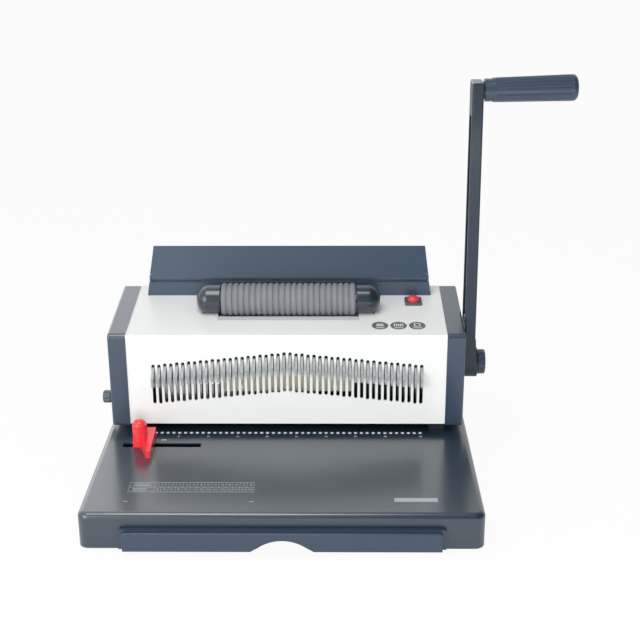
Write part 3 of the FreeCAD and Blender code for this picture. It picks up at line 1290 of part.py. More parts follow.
def button_bezel():
    """Square bezel of the push button, with its body below the skin."""
    half = BEZEL_SIZE / 2.0
    top = box(-half, half, -half, half, 0.0, BEZEL_HEIGHT)
    top = top.makeFillet(2.0, along(top, Z_AXIS))
    top = top.makeChamfer(1.0, [edge for edge in top.Edges if edge.CenterOfMass.z > BEZEL_HEIGHT - 0.01])
    half = BEZEL_BODY / 2.0
    body = box(-half, half, -half, half, -BEZEL_DEPTH, 0.0)
    bore = rod_z(0.0, 0.0, -BEZEL_DEPTH - 1.0, BEZEL_HEIGHT + 1.0, BUTTON_RADIUS + 2.0 * RUNNING_FIT)
    return on_slope(join(top, body).cut(bore), BUTTON_X, BUTTON_V)


def button_cap():
    """Domed push button."""
    top = BEZEL_HEIGHT + BUTTON_RISE
    skirt = rod_z(0.0, 0.0, -BUTTON_SKIRT, top - BUTTON_DOME, BUTTON_RADIUS)
    radius = (BUTTON_RADIUS ** 2 + BUTTON_DOME ** 2) / (2.0 * BUTTON_DOME)
    dome = Part.makeSphere(radius, Vector(0, 0, top - radius))
    dome = dome.common(rod_z(0.0, 0.0, top - BUTTON_DOME, top + 1.0, BUTTON_RADIUS))
    return on_slope(join(skirt, dome), BUTTON_X, BUTTON_V)


def button_switch():
    """Switch below the push button, with its plunger."""
    half = SWITCH_SIZE / 2.0
    top = -BEZEL_DEPTH
    body = box(-half, half, -half, half, top - SWITCH_HEIGHT, top)
    plunger = rod_z(0.0, 0.0, top - 1.0, -BUTTON_SKIRT - BUTTON_TRAVEL - SEAT_GAP, 2.0)
    return on_slope(join(body, plunger), BUTTON_X, BUTTON_V)


def stop_slider():
    """Block of the edge stop with its fin and a tongue in the guide slot."""
    low = PLATFORM_TOP + SLIDE_GAP
    block = box(STOP_X - SLIDER_HALF, STOP_X + SLIDER_HALF, SLIDER_FRONT, SLIDER_REAR, low, low + SLIDER_HEIGHT)
    block = block.makeFillet(1.0, along(block, Z_AXIS))
    tip_left = FIN_FACE_X - FIN_TIP_WIDTH
    rear_left = FIN_FACE_X - FIN_REAR_WIDTH
    inner = STOP_X
    tip_top = low + FIN_TIP_HEIGHT
    rear_top = low + FIN_REAR_HEIGHT
    fin = hull([(tip_left, FIN_TIP_Y, low), (FIN_FACE_X, FIN_TIP_Y, low),
                (FIN_FACE_X, FIN_REAR_Y, low), (rear_left, FIN_REAR_Y, low)],
               [(tip_left, FIN_TIP_Y, tip_top), (FIN_FACE_X, FIN_TIP_Y, tip_top),
                (FIN_FACE_X, FIN_REAR_Y, rear_top), (rear_left, FIN_REAR_Y, rear_top)])
    wedge = prism([(tip_left, FIN_TIP_Y + 1.0, low), (rear_left + 2.0, SLIDER_REAR, low), (inner, SLIDER_REAR, low),
                   (inner, SLIDER_FRONT + 1.0, low)], (0, 0, SLIDER_HEIGHT - 0.5))
    half = GUIDE_SLOT_WIDTH / 2.0 - SLIDE_GAP
    tongue = box(STOP_X - half, STOP_X + half, STOP_Y - half, STOP_Y + half, PLATFORM_UNDER, low)
    tongue = tongue.makeFillet(GUIDE_CORNER - SLIDE_GAP, along(tongue, Z_AXIS))
    seat = low + SLIDER_HEIGHT
    bore = rod_z(STOP_X, STOP_Y, PLATFORM_UNDER - 1.0, seat + 1.0, STUD_RADIUS + 2.0 * RUNNING_FIT)
    room = rod_z(STOP_X, STOP_Y, seat, low + FIN_REAR_HEIGHT + 1.0, STOP_KNOB_RADIUS + SLIDE_GAP)
    return join(block, wedge, fin, tongue).cut(bore).cut(room)


def stop_knob():
    """Fluted domed knob with the stud that clamps the edge stop."""
    low = PLATFORM_TOP + 2.0 * SLIDE_GAP + SLIDER_HEIGHT
    top = low + STOP_KNOB_HEIGHT
    knob = rod_z(STOP_X, STOP_Y, low, top, STOP_KNOB_RADIUS)
    crown = [edge for edge in knob.Edges if isinstance(edge.Curve, Part.Circle) and edge.CenterOfMass.z > top - 0.01]
    knob = knob.makeFillet(STOP_KNOB_RADIUS - 1.5, crown)
    flutes = []
    for index in range(STOP_KNOB_FLUTES):
        angle = index * 2.0 * math.pi / STOP_KNOB_FLUTES
        away = STOP_KNOB_RADIUS + 0.6
        flutes.append(rod_z(STOP_X + away * math.cos(angle), STOP_Y + away * math.sin(angle),
                            low + 2.0, top - 6.0, 1.1))
    stud = rod_z(STOP_X, STOP_Y, PLATFORM_UNDER - NUT_HEIGHT, low + 1.0, STUD_RADIUS)
    return join(knob.cut(Part.makeCompound(flutes)), stud)


def stop_nut():
    """Nut plate under the platform."""
    half = NUT_SIZE / 2.0
    top = PLATFORM_UNDER - SLIDE_GAP
    nut = box(STOP_X - half, STOP_X + half, STOP_Y - half, STOP_Y + half, top - NUT_HEIGHT, top)
    return nut.cut(rod_z(STOP_X, STOP_Y, top - NUT_HEIGHT - 1.0, top + 1.0, STUD_RADIUS + 2.0 * RUNNING_FIT))


def depth_stop_bar():
    """Sliding stop behind the die, with an upstand for the cam."""
    low = PLATFORM_TOP + SLIDE_GAP
    front = GUIDE_REAR + STOP_BLADE_GAP
    rear = front + STOP_BLADE_DEPTH
    left = -PLATE_INNER + STOP_END_GAP
    blade = box(left, LAND_HALF - STOP_END_GAP, front, rear, low, GUIDE_BOTTOM - SLIDE_GAP)
    upstand = box(left, left + CAM_WIDTH + 1.0, rear - STOP_UPSTAND, rear, low, DEPTH_HEIGHT + STOP_ABOVE_CAM)
    return join(blade, upstand)


def depth_cam():
    """Scroll cam on the spindle that pushes the stop bar forward as it turns."""
    left = -PLATE_INNER + CAM_INSET
    steps = 24
    turns = []
    for step in range(steps + 1):
        share = step / float(steps)
        angle = math.pi - share * CAM_SWEEP * math.pi
        turns.append((CAM_RADIUS + STOP_TRAVEL * CAM_SWEEP * share, angle))
    corners = [Vector(left, DEPTH_Y + r * math.cos(a), DEPTH_HEIGHT + r * math.sin(a)) for r, a in turns]
    start, end = turns[0][1], turns[-1][1] + 2.0 * math.pi
    fill = 8
    for step in range(1, fill):
        angle = end + (start - end) * step / float(fill)
        corners.append(Vector(left, DEPTH_Y + CAM_RADIUS * math.cos(angle), DEPTH_HEIGHT + CAM_RADIUS * math.sin(angle)))
    cam = Part.Face(Part.makePolygon(corners + corners[:1])).extrude(Vector(CAM_WIDTH, 0, 0))
    return cam.cut(rod_x(left - 1.0, left + CAM_WIDTH + 1.0, DEPTH_Y, DEPTH_HEIGHT, DEPTH_SPINDLE_RADIUS))


def depth_knob():
    """Small lobed knob on the left side with its spindle."""
    start = -COVER_OUTER - SEAT_GAP
    bead = rod_x(start - DEPTH_OUT * 0.5, start, DEPTH_Y, DEPTH_HEIGHT, DEPTH_RADIUS * 0.6)
    knob = star(start - DEPTH_OUT, start - DEPTH_OUT * 0.45, DEPTH_Y, DEPTH_HEIGHT, DEPTH_RADIUS, DEPTH_LOBES, None)
    spindle = rod_x(start - 1.0, -PLATE_INNER + CAM_INSET + CAM_WIDTH, DEPTH_Y, DEPTH_HEIGHT, DEPTH_SPINDLE_RADIUS)
    return join(knob, bead, spindle)


def side_cover(side):
    """Dark side cover, a shell open towards the frame; side is -1 or 1."""
    proud = COVER_PROUD
    front = -proud
    rear = HOUSING_REAR + proud

    def body(inset, x0, x1):
        a, b = front + inset, rear - inset
        outline = [(a, COVER_BOTTOM + inset), (a, slope_z(a, proud - inset)),
                   (b, slope_z(b, proud - inset)), (b, COVER_BOTTOM + inset)]
        block = prism_x(outline, x0, x1)
        bend = along(block, X_AXIS, lambda c: c.y < a + 0.01 and c.z > BEND_Z - 20.0)
        block = block.makeFillet(COVER_BEND - inset, bend)
        rest = along(block, X_AXIS, lambda c: (c.y < a + 0.01 and c.z < BEND_Z - 20.0) or c.y > b - 0.01)
        return block.makeFillet(max(COVER_CORNER - inset, 0.5), rest)

    shell = body(0.0, HOUSING_HALF, COVER_OUTER)
    rim = [edge for edge in shell.Edges if edge.CenterOfMass.x > COVER_OUTER - 0.01]
    shell = shell.makeFillet(COVER_EDGE, rim)
    hollow = body(COVER_WALL, HOUSING_HALF - 1.0, COVER_OUTER - COVER_WALL)
    rear_row = HOUSING_REAR - COVER_BOSS_INSET
    high_row = BEND_Z - COVER_BOSS_INSET
    places = [(COVER_BOSS_INSET, high_row), (rear_row, COVER_BOTTOM + COVER_BOSS_INSET), (rear_row, high_row)]
    bosses = [rod_x(HOUSING_HALF, COVER_OUTER - 1.0, y, z, COVER_BOSS_RADIUS) for y, z in places]
    cover = join(shell.cut(hollow), *bosses)
    if side > 0:
        return cover.cut(rod_x(HOUSING_HALF, COVER_OUTER + 1.0, SHAFT_Y, SHAFT_HEIGHT, SHAFT_RADIUS + 1.0))
    hole = rod_x(-COVER_OUTER - 1.0, -HOUSING_HALF, DEPTH_Y, DEPTH_HEIGHT, DEPTH_SPINDLE_RADIUS + 1.0)
    return mirrored(cover).cut(hole)


def rear_screw_places():
    """Places of the screws in the rear panel, as (x, z)."""
    x = PLATE_INNER + PLATE_THICK / 2.0
    return [(side * x, z) for side in (-1, 1) for z in (REAR_SCREW_LOW, REAR_SCREW_HIGH)]


def board_holes():
    """Places of the standoffs of the board, as (x, z)."""
    half = BOARD_WIDTH / 2.0 - BOARD_HOLE_INSET
    rows = (BOARD_BOTTOM + BOARD_HOLE_INSET, BOARD_BOTTOM + BOARD_HEIGHT - BOARD_HOLE_INSET)
    return [(BOARD_X + side * half, row) for side in (-1, 1) for row in rows]


def rear_panel():
    """Rear panel with the opening for the power inlet."""
    outline = [(PANEL_INNER_Y, HOUSING_BOTTOM), (PANEL_INNER_Y, slope_z(PANEL_INNER_Y, -STEEL)),
               (HOUSING_REAR, slope_z(HOUSING_REAR, -STEEL)), (HOUSING_REAR, HOUSING_BOTTOM)]
    panel = prism_x(outline, -HOUSING_HALF, HOUSING_HALF)
    studs = [rod_y(x, PANEL_INNER_Y - BOARD_STANDOFF, PANEL_INNER_Y, z, 2.5) for x, z in board_holes()]
    panel = join(panel, *studs)
    tools = [rod_y(x, PANEL_INNER_Y - 1.0, HOUSING_REAR + 1.0, z, REAR_SCREW_RADIUS)
             for x, z in rear_screw_places()]
    tools.append(box(INLET_X - INLET_WIDTH / 2.0, INLET_X + INLET_WIDTH / 2.0, PANEL_INNER_Y - 1.0,
                     HOUSING_REAR + 1.0, INLET_Z - INLET_HEIGHT / 2.0, INLET_Z + INLET_HEIGHT / 2.0))
    return panel.cut(Part.makeCompound(tools))


def rear_screws():
    """Screws of the rear panel."""
    screws = []
    for x, z in rear_screw_places():
        head = rod_y(x, HOUSING_REAR, HOUSING_REAR + REAR_SCREW_TOP, z, REAR_SCREW_HEAD)
        shank = rod_y(x, PANEL_INNER_Y - REAR_SCREW_LENGTH, HOUSING_REAR, z, REAR_SCREW_RADIUS)
        screws.append(join(head, shank))
    return screws


def power_inlet():
    """Socket for a detachable mains lead, with three blades inside."""
    half_w, half_h = INLET_WIDTH / 2.0, INLET_HEIGHT / 2.0
    face = HOUSING_REAR + INLET_FLANGE_THICK
    flange = box(INLET_X - half_w - INLET_FLANGE, INLET_X + half_w + INLET_FLANGE, HOUSING_REAR, face,
                 INLET_Z - half_h - INLET_FLANGE, INLET_Z + half_h + INLET_FLANGE)
    body = box(INLET_X - half_w, INLET_X + half_w, face - INLET_DEPTH, HOUSING_REAR,
               INLET_Z - half_h, INLET_Z + half_h)
    socket = box(INLET_X - half_w + INLET_WALL, INLET_X + half_w - INLET_WALL, face - INLET_SOCKET_DEPTH,
                 face + 1.0, INLET_Z - half_h + INLET_WALL, INLET_Z + half_h - INLET_WALL)
    back = face - INLET_SOCKET_DEPTH
    blades = [box(INLET_X + dx - 1.0, INLET_X + dx + 1.0, back - 0.5, back + BLADE_LENGTH,
                  INLET_Z + dz - 2.0, INLET_Z + dz + 2.0) for dx, dz in ((-7.0, -2.0), (0.0, 2.0), (7.0, -2.0))]
    return join(join(flange, body).cut(socket), *blades)


def control_board():
    """Circuit board on the standoffs of the rear panel, with its larger parts."""
    rear = PANEL_INNER_Y - BOARD_STANDOFF
    front = rear - BOARD_THICK
    left = BOARD_X - BOARD_WIDTH / 2.0
    board = box(left, left + BOARD_WIDTH, front, rear, BOARD_BOTTOM, BOARD_BOTTOM + BOARD_HEIGHT)
    start, low = left + RELAY_INSET, BOARD_BOTTOM + RELAY_BOTTOM
    relay = box(start, start + RELAY_WIDTH, front - RELAY_THICK, front, low, low + RELAY_HEIGHT)
    start, low = left + CHIP_INSET, BOARD_BOTTOM + CHIP_BOTTOM
    chip = box(start, start + CHIP_WIDTH, front - CHIP_THICK, front, low, low + CHIP_HEIGHT)
    store = rod_y(left + STORE_INSET, front - STORE_THICK, front, BOARD_BOTTOM + STORE_BOTTOM, STORE_RADIUS)
    return join(board, relay, chip, store)


NODES = {
    "base_platform": base_platform, "base_pan": base_pan, "rubber_feet": rubber_feet,
    "foot_screws": foot_screws, "chip_tray": chip_tray, "tray_runners": tray_runners,
    "left_frame_plate": left_frame_plate, "right_frame_plate": frame_plate,
    "frame_screws": frame_screws, "cross_bar": cross_bar, "die_plate": die_plate,
    "throat_spacers": throat_spacers, "pin_guide_plate": pin_guide_plate,
    "guide_rods": guide_rods, "return_springs": return_springs, "punch_beam": punch_beam,
    "beam_screws": beam_screws, "punch_pins": punch_pins, "pin_tabs": pin_tabs,
    "pinions": pinions, "punch_racks": punch_racks, "main_shaft": main_shaft,
    "shaft_bushes": shaft_bushes, "handle_hub": handle_hub, "handle_arm": handle_arm,
    "arm_screws": arm_screws, "grip_bolt": grip_bolt, "grip_washer": grip_washer,
    "handle_grip": handle_grip, "handle_knob": handle_knob, "front_housing": front_housing,
    "roller_trough": roller_trough, "roller_sleeve": roller_sleeve, "roller_shaft": roller_shaft,
    "roller_pulley": roller_pulley, "motor_pulley": motor_pulley, "drive_belt": drive_belt,
    "left_end_cap": lambda: end_cap(-1), "right_end_cap": lambda: end_cap(1),
    "roller_bushes": roller_bushes, "drive_motor": drive_motor, "motor_bracket": motor_bracket,
    "rear_rail": rear_rail, "rear_lid": rear_lid, "lid_hinge_pins": lid_hinge_pins,
    "button_bezel": button_bezel, "button_cap": button_cap, "button_switch": button_switch,
    "edge_stop": stop_slider, "edge_stop_knob": stop_knob, "edge_stop_nut": stop_nut,
    "depth_stop_bar": depth_stop_bar, "depth_cam": depth_cam, "depth_knob": depth_knob,
    "left_side_cover": lambda: side_cover(-1), "right_side_cover": lambda: side_cover(1),
    "rear_panel": rear_panel, "rear_screws": rear_screws, "power_inlet": power_inlet,
    "control_board": control_board,
}


def build():
    """Make every node, as a dictionary of lists of solids."""
    made = {}
    for name, maker in NODES.items():
        shape = maker()
        solids = shape if isinstance(shape, list) else [shape]
        made[name] = [solid for shape in solids for solid in shape.Solids]
    return made


def origin_shift(made):
    """Move from the desk frame to an origin under the middle of the whole."""
    whole = FreeCAD.BoundBox()
    for solids in made.values():
        for solid in solids:
            whole.add(solid.BoundBox)
    return Vector(-whole.Center.x, -whole.Center.y, -whole.ZMin)


def main():
    """Write one file per node, with the origin under the middle of the whole."""
    os.makedirs("parts", exist_ok=True)
    made = build()
    shift = origin_shift(made)
    for name, solids in made.items():
        for solid in solids:
            solid.translate(shift)
        shape = solids[0] if len(solids) == 1 else Part.makeCompound(solids)
        shape.exportStep("parts/" + name + ".step")
        print(name, len(solids), [round(solid.isValid()) for solid in solids].count(0),
              round(sum(solid.Volume for solid in solids)))
    print("shift", shift)


main()
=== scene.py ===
"""Finishes, printed marks and detail pieces of a desktop coil punching machine."""
import math

import bmesh
import bpy
from bpy.props import FloatProperty, FloatVectorProperty, IntProperty, PointerProperty
from mathutils import Matrix, Vector


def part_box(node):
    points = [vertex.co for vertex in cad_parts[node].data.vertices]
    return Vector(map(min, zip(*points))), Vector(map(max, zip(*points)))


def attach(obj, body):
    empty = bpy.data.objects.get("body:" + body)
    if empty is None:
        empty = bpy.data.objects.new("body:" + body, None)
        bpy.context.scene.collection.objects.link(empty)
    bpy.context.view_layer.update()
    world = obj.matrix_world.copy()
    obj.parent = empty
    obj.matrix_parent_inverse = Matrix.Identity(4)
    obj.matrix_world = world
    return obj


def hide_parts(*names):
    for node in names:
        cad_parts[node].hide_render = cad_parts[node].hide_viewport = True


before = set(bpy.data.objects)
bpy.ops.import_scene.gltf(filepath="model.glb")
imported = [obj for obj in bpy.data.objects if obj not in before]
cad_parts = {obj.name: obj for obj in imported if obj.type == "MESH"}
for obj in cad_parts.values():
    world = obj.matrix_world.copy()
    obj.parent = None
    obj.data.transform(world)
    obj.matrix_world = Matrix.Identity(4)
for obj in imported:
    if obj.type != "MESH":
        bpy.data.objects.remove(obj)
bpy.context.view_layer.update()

bl_info = {
    "name": "Coil punching machine",
    "version": (1, 0, 0),
    "blender": (4, 5, 0),
    "location": "View3D > Sidebar > Coil punch",
    "description": "Finishes, printed marks and detail pieces of a desktop coil punching machine",
    "category": "Object",
}

# A printed mark starts a little inside the surface, so that no gap shows under it
PRINT_RISE = 0.00006
PRINT_SINK = 0.00002
PRINT_DEPTH = PRINT_RISE + PRINT_SINK
PRINT_MIDDLE = (PRINT_RISE - PRINT_SINK) / 2

# Depth that the finest bump stands for, share by which roughness varies, and brightness of a speck
SKIN_DEPTH = 0.0001
ROUGH_VARY = 0.12
SPECK_SHADE = 1.7

# Steps of a rounded print corner, and how far from upright its edge may lean
CORNER_STEPS = 3
UPRIGHT_SLACK = 1e-9

# Places read from the frame
BASE_LOW, BASE_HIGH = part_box("base_platform")
HOUSING_LOW, HOUSING_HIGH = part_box("front_housing")
TAB_LOW, TAB_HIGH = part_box("pin_tabs")
ROLLER_LOW, ROLLER_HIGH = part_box("roller_sleeve")
TABLE_TOP = BASE_HIGH.z
WALL_Y = HOUSING_LOW.y
MIDDLE_X = (BASE_LOW.x + BASE_HIGH.x) / 2
ROW_X = (TAB_LOW.x + TAB_HIGH.x) / 2

# Sockets of a colour mix, whose names repeat for each kind of value
MIX_MASK = 0
MIX_LOW = 6
MIX_HIGH = 7
MIX_RESULT = 2


def tone(red, green, blue):
    """Linear colour from the three screen values of 0 to 255."""
    shades = []
    for value in (red, green, blue):
        share = value / 255
        shades.append(share / 12.92 if share <= 0.04045 else ((share + 0.055) / 1.055) ** 2.4)
    return tuple(shades)


class FinishSettings(bpy.types.PropertyGroup):
    """Colours of the paints, plastics and metals."""
    slate: FloatVectorProperty(name="Slate paint", description="Powder coat of the base and the rear panel",
                               subtype="COLOR", size=3, min=0, max=1, default=tone(24, 44, 60))
    cover: FloatVectorProperty(name="Cover plastic", description="Side covers, chip tray and grip",
                               subtype="COLOR", size=3, min=0, max=1, default=tone(46, 62, 82))
    lid: FloatVectorProperty(name="Lid paint", description="Rear lid and its rail",
                             subtype="COLOR", size=3, min=0, max=1, default=tone(46, 66, 86))
    white: FloatVectorProperty(name="White enamel", description="Slotted front housing",
                               subtype="COLOR", size=3, min=0, max=1, default=tone(240, 241, 239))
    arm: FloatVectorProperty(name="Arm paint", description="Handle arm and hub",
                             subtype="COLOR", size=3, min=0, max=1, default=tone(22, 38, 54))
    cap: FloatVectorProperty(name="Cap plastic", description="Glossy end caps of the roller",
                             subtype="COLOR", size=3, min=0, max=1, default=tone(26, 40, 52))
    rubber: FloatVectorProperty(name="Roller rubber", description="Ringed sleeve of the roller",
                                subtype="COLOR", size=3, min=0, max=1, default=tone(124, 125, 131))
    red: FloatVectorProperty(name="Red plastic", description="Edge stop and its knob",
                             subtype="COLOR", size=3, min=0, max=1, default=tone(244, 56, 66))
    button: FloatVectorProperty(name="Button red", description="Push button",
                                subtype="COLOR", size=3, min=0, max=1, default=tone(214, 66, 68))
    olive: FloatVectorProperty(name="Passivated steel", description="Punch beam seen through the slots",
                               subtype="COLOR", size=3, min=0, max=1, default=tone(206, 204, 178))
    ink: FloatVectorProperty(name="Print", description="Printed scale and signs",
                             subtype="COLOR", size=3, min=0, max=1, default=tone(238, 241, 244))
    chart_ink: FloatVectorProperty(name="Chart print", description="Thin lines and numerals of the chart",
                                   subtype="COLOR", size=3, min=0, max=1, default=tone(178, 186, 194))


class PrintSettings(bpy.types.PropertyGroup):
    """Sizes of the printed scale, chart and badges."""
    dash_length: FloatProperty(name="Dash length", description="Length of one mark along the scale",
                               unit="LENGTH", min=0.001, max=0.006, default=0.0034)
    dash_depth: FloatProperty(name="Dash depth", description="Depth of one mark across the scale",
                              unit="LENGTH", min=0.0005, max=0.006, default=0.0042)
    scale_gap: FloatProperty(name="Scale gap", description="Distance of the marks from the front wall",
                             unit="LENGTH", min=0.001, max=0.03, default=0.0029)
    numeral: FloatProperty(name="Numeral height", description="Height of the numerals on the scale",
                           unit="LENGTH", min=0.001, max=0.008, default=0.0034)
    line: FloatProperty(name="Chart line", description="Width of the lines of the chart",
                        unit="LENGTH", min=0.0001, max=0.002, default=0.0003)
    columns: IntProperty(name="Chart columns", description="Number columns of the chart",
                         min=1, max=14, default=14)
    badge: FloatProperty(name="Badge diameter", description="Diameter of one round badge",
                         unit="LENGTH", min=0.005, max=0.03, default=0.0177)


class RollerSettings(bpy.types.PropertyGroup):
    """Shape of the ringed rubber sleeve."""
    rings: IntProperty(name="Rings", description="Number of raised rings", min=4, max=60, default=23)
    groove_depth: FloatProperty(name="Groove depth", description="Depth between two rings",
                                unit="LENGTH", min=0.0002, max=0.004, default=0.0017)
    groove_share: FloatProperty(name="Groove share", description="Share of the pitch that is groove",
                                subtype="FACTOR", min=0.05, max=0.6, default=0.24)


class StageSettings(bpy.types.PropertyGroup):
    """Lamps, room light and camera."""
    key: FloatProperty(name="Key lamp", description="Power of the large lamp at the front left",
                       unit="POWER", min=0, max=500, default=12.5)
    fill: FloatProperty(name="Fill lamp", description="Power of the lamp behind the camera",
                        unit="POWER", min=0, max=500, default=17)
    top: FloatProperty(name="Top lamp", description="Power of the lamp above the front",
                       unit="POWER", min=0, max=500, default=7)
    sky: FloatProperty(name="Room light", description="Strength of the even light from all sides",
                       min=0, max=2, default=0.42)
    front: FloatProperty(name="Front of the room", description="Brightness that gloss mirrors at the front",
                         min=0, max=2, default=0.05)
    left: FloatProperty(name="Left of the room", description="Brightness that gloss mirrors at the left",
                        min=0, max=3, default=0.98)
    back: FloatProperty(name="Back of the room", description="Brightness that gloss mirrors at the back",
                        min=0, max=3, default=0.73)
    lens: FloatProperty(name="Lens", description="Focal length of the camera", unit="CAMERA",
                        min=10, max=300, default=68.23)


def new_group(name, outputs, **inputs):
    """Empty shader group with float inputs, a vector input and the named outputs."""
    group = bpy.data.node_groups.new(name, "ShaderNodeTree")
    group.interface.new_socket("Vector", in_out="INPUT", socket_type="NodeSocketVector")
    for label, value in inputs.items():
        socket = group.interface.new_socket(label, in_out="INPUT", socket_type="NodeSocketFloat")
        socket.default_value = value
    for label in outputs:
        group.interface.new_socket(label, in_out="OUTPUT", socket_type="NodeSocketFloat")
    source = group.nodes.new("NodeGroupInput")
    result = group.nodes.new("NodeGroupOutput")
    return group, source, result


def noise(tree, vector, scale, detail, rough=0.55):
    """Noise texture; scale is a number or a socket."""
    node = tree.nodes.new("ShaderNodeTexNoise")
    node.inputs["Detail"].default_value = detail
    node.inputs["Roughness"].default_value = rough
    tree.links.new(vector, node.inputs["Vector"])
    if isinstance(scale, (int, float)):
        node.inputs["Scale"].default_value = scale
    else:
        tree.links.new(scale, node.inputs["Scale"])
    return node.outputs["Fac"]


def spread(tree, value, low, high, to_low=0.0, to_high=1.0):
    """Map a value from one range to another, held at its ends."""
    node = tree.nodes.new("ShaderNodeMapRange")
    node.inputs["From Min"].default_value = low
    node.inputs["From Max"].default_value = high
    node.inputs["To Min"].default_value = to_low
    node.inputs["To Max"].default_value = to_high
    tree.links.new(value, node.inputs["Value"])
    return node.outputs["Result"]


def combine(tree, how, first, second):
    """Math node of two values, each a socket or a number."""
    node = tree.nodes.new("ShaderNodeMath")
    node.operation = how
    for socket, value in zip(node.inputs, (first, second)):
        if isinstance(value, (int, float)):
            socket.default_value = value
        else:
            tree.links.new(value, socket)
    return node.outputs[0]


def skin_group():
    """Fine skin of sprayed or moulded surfaces: peel height, soft mottle and rare specks."""
    group, source, result = new_group("sprayed_skin", ("Height", "Mottle", "Specks"),
                                      Peel=900.0, Patch=14.0)
    vector = source.outputs["Vector"]
    peel = noise(group, vector, source.outputs["Peel"], detail=2.0)
    patch = noise(group, vector, source.outputs["Patch"], detail=3.0)
    dots = noise(group, vector, 420.0, detail=1.0)
    group.links.new(peel, result.inputs["Height"])
    group.links.new(spread(group, patch, 0.2, 0.8), result.inputs["Mottle"])
    group.links.new(spread(group, dots, 0.70, 0.76), result.inputs["Specks"])
    return group


def line_group():
    """Thin scratches and brushing along one axis: height and streak mask."""
    group, source, result = new_group("drawn_lines", ("Height", "Streaks"), Length=40.0, Fineness=2600.0)
    stretch = group.nodes.new("ShaderNodeVectorMath")
    stretch.operation = "MULTIPLY"
    join = group.nodes.new("ShaderNodeCombineXYZ")
    group.links.new(source.outputs["Length"], join.inputs["X"])
    group.links.new(source.outputs["Fineness"], join.inputs["Y"])
    group.links.new(source.outputs["Fineness"], join.inputs["Z"])
    group.links.new(source.outputs["Vector"], stretch.inputs[0])
    group.links.new(join.outputs[0], stretch.inputs[1])
    lines = noise(group, stretch.outputs[0], 1.0, detail=3.0, rough=0.6)
    group.links.new(lines, result.inputs["Height"])
    group.links.new(spread(group, lines, 0.35, 0.65), result.inputs["Streaks"])
    return group


GROUPS = {}


def group_named(name, maker):
    """Shared shader group, built once."""
    if name not in GROUPS:
        GROUPS[name] = maker()
    return GROUPS[name]


class Finish:
    """One material on object coordinates, with sockets ready to join."""

    def __init__(self, name, colour, rough, metal=0.0, turn=(0.0, 0.0, 0.0)):
        self.material = bpy.data.materials.new(name)
        self.material.use_nodes = True
        self.tree = self.material.node_tree
        self.shader = self.tree.nodes["Principled BSDF"]
        self.colour = tuple(colour)
        self.shader.inputs["Base Color"].default_value = (*self.colour, 1)
        self.shader.inputs["Roughness"].default_value = rough
        self.shader.inputs["Metallic"].default_value = metal
        place = self.tree.nodes.new("ShaderNodeTexCoord")
        mapping = self.tree.nodes.new("ShaderNodeMapping")
        mapping.inputs["Rotation"].default_value = turn
        self.tree.links.new(place.outputs["Object"], mapping.inputs["Vector"])
        self.vector = mapping.outputs["Vector"]

    def add(self, name, maker, **values):
        """Place a shared group on the material's coordinates."""
        node = self.tree.nodes.new("ShaderNodeGroup")
        node.node_tree = group_named(name, maker)
        for label, value in values.items():
            node.inputs[label].default_value = value
        self.tree.links.new(self.vector, node.inputs["Vector"])
        return node

    def mix(self, mask, low, high):
        """Colour between two, by a mask."""
        node = self.tree.nodes.new("ShaderNodeMix")
        node.data_type = "RGBA"
        for socket, value in ((node.inputs[MIX_LOW], low), (node.inputs[MIX_HIGH], high)):
            if isinstance(value, tuple):
                socket.default_value = (*value, 1)
            else:
                self.tree.links.new(value, socket)
        self.tree.links.new(mask, node.inputs[MIX_MASK])
        return node.outputs[MIX_RESULT]

    def shade(self, share):
        """The finish's own colour, lighter or darker by a share."""
        return tuple(min(1.0, value * share) for value in self.colour)

    def link(self, value, socket):
        """Join a value to a socket of the shader."""
        self.tree.links.new(value, self.shader.inputs[socket])

    def bump(self, height, strength, distance=SKIN_DEPTH):
        """Bump the surface with a height."""
        node = self.tree.nodes.new("ShaderNodeBump")
        node.inputs["Strength"].default_value = strength
        node.inputs["Distance"].default_value = distance
        self.tree.links.new(height, node.inputs["Height"])
        self.link(node.outputs["Normal"], "Normal")


def sprayed(name, colour, rough, peel=900.0, bump=0.25, vary=0.08, specks=0.3, coat=0.0, coat_rough=0.08,
            coat_ior=1.5):
    """Paint or moulded plastic with a fine skin, soft variation and a few specks."""
    finish = Finish(name, colour, rough)
    skin = finish.add("sprayed_skin", skin_group, Peel=peel)
    mottle = skin.outputs["Mottle"]
    body = finish.mix(mottle, finish.shade(1.0 - vary), finish.shade(1.0 + vary))
    mask = combine(finish.tree, "MULTIPLY", skin.outputs["Specks"], specks)
    finish.link(finish.mix(mask, body, finish.shade(SPECK_SHADE)), "Base Color")
    rough_range = (rough * (1.0 - ROUGH_VARY), rough * (1.0 + ROUGH_VARY))
    finish.link(spread(finish.tree, mottle, 0.0, 1.0, *rough_range), "Roughness")
    finish.bump(skin.outputs["Height"], bump)
    finish.shader.inputs["Coat Weight"].default_value = coat
    finish.shader.inputs["Coat Roughness"].default_value = coat_rough
    finish.shader.inputs["Coat IOR"].default_value = coat_ior
    return finish.material


def drawn_metal(name, colour, rough, turn=(0.0, 0.0, 0.0)):
    """Brushed or drawn metal with lines along one axis."""
    finish = Finish(name, colour, rough, 1.0, turn)
    lines = finish.add("drawn_lines", line_group)
    streaks = lines.outputs["Streaks"]
    finish.link(finish.mix(streaks, finish.shade(0.8), finish.shade(1.2)), "Base Color")
    finish.link(spread(finish.tree, streaks, 0.0, 1.0, rough * 0.8, rough * 1.25), "Roughness")
    finish.bump(lines.outputs["Height"], 0.2)
    return finish.material


def paint(material, *nodes):
    """Give nodes of the frame a material."""
    for node in nodes:
        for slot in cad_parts[node].material_slots:
            slot.material = material


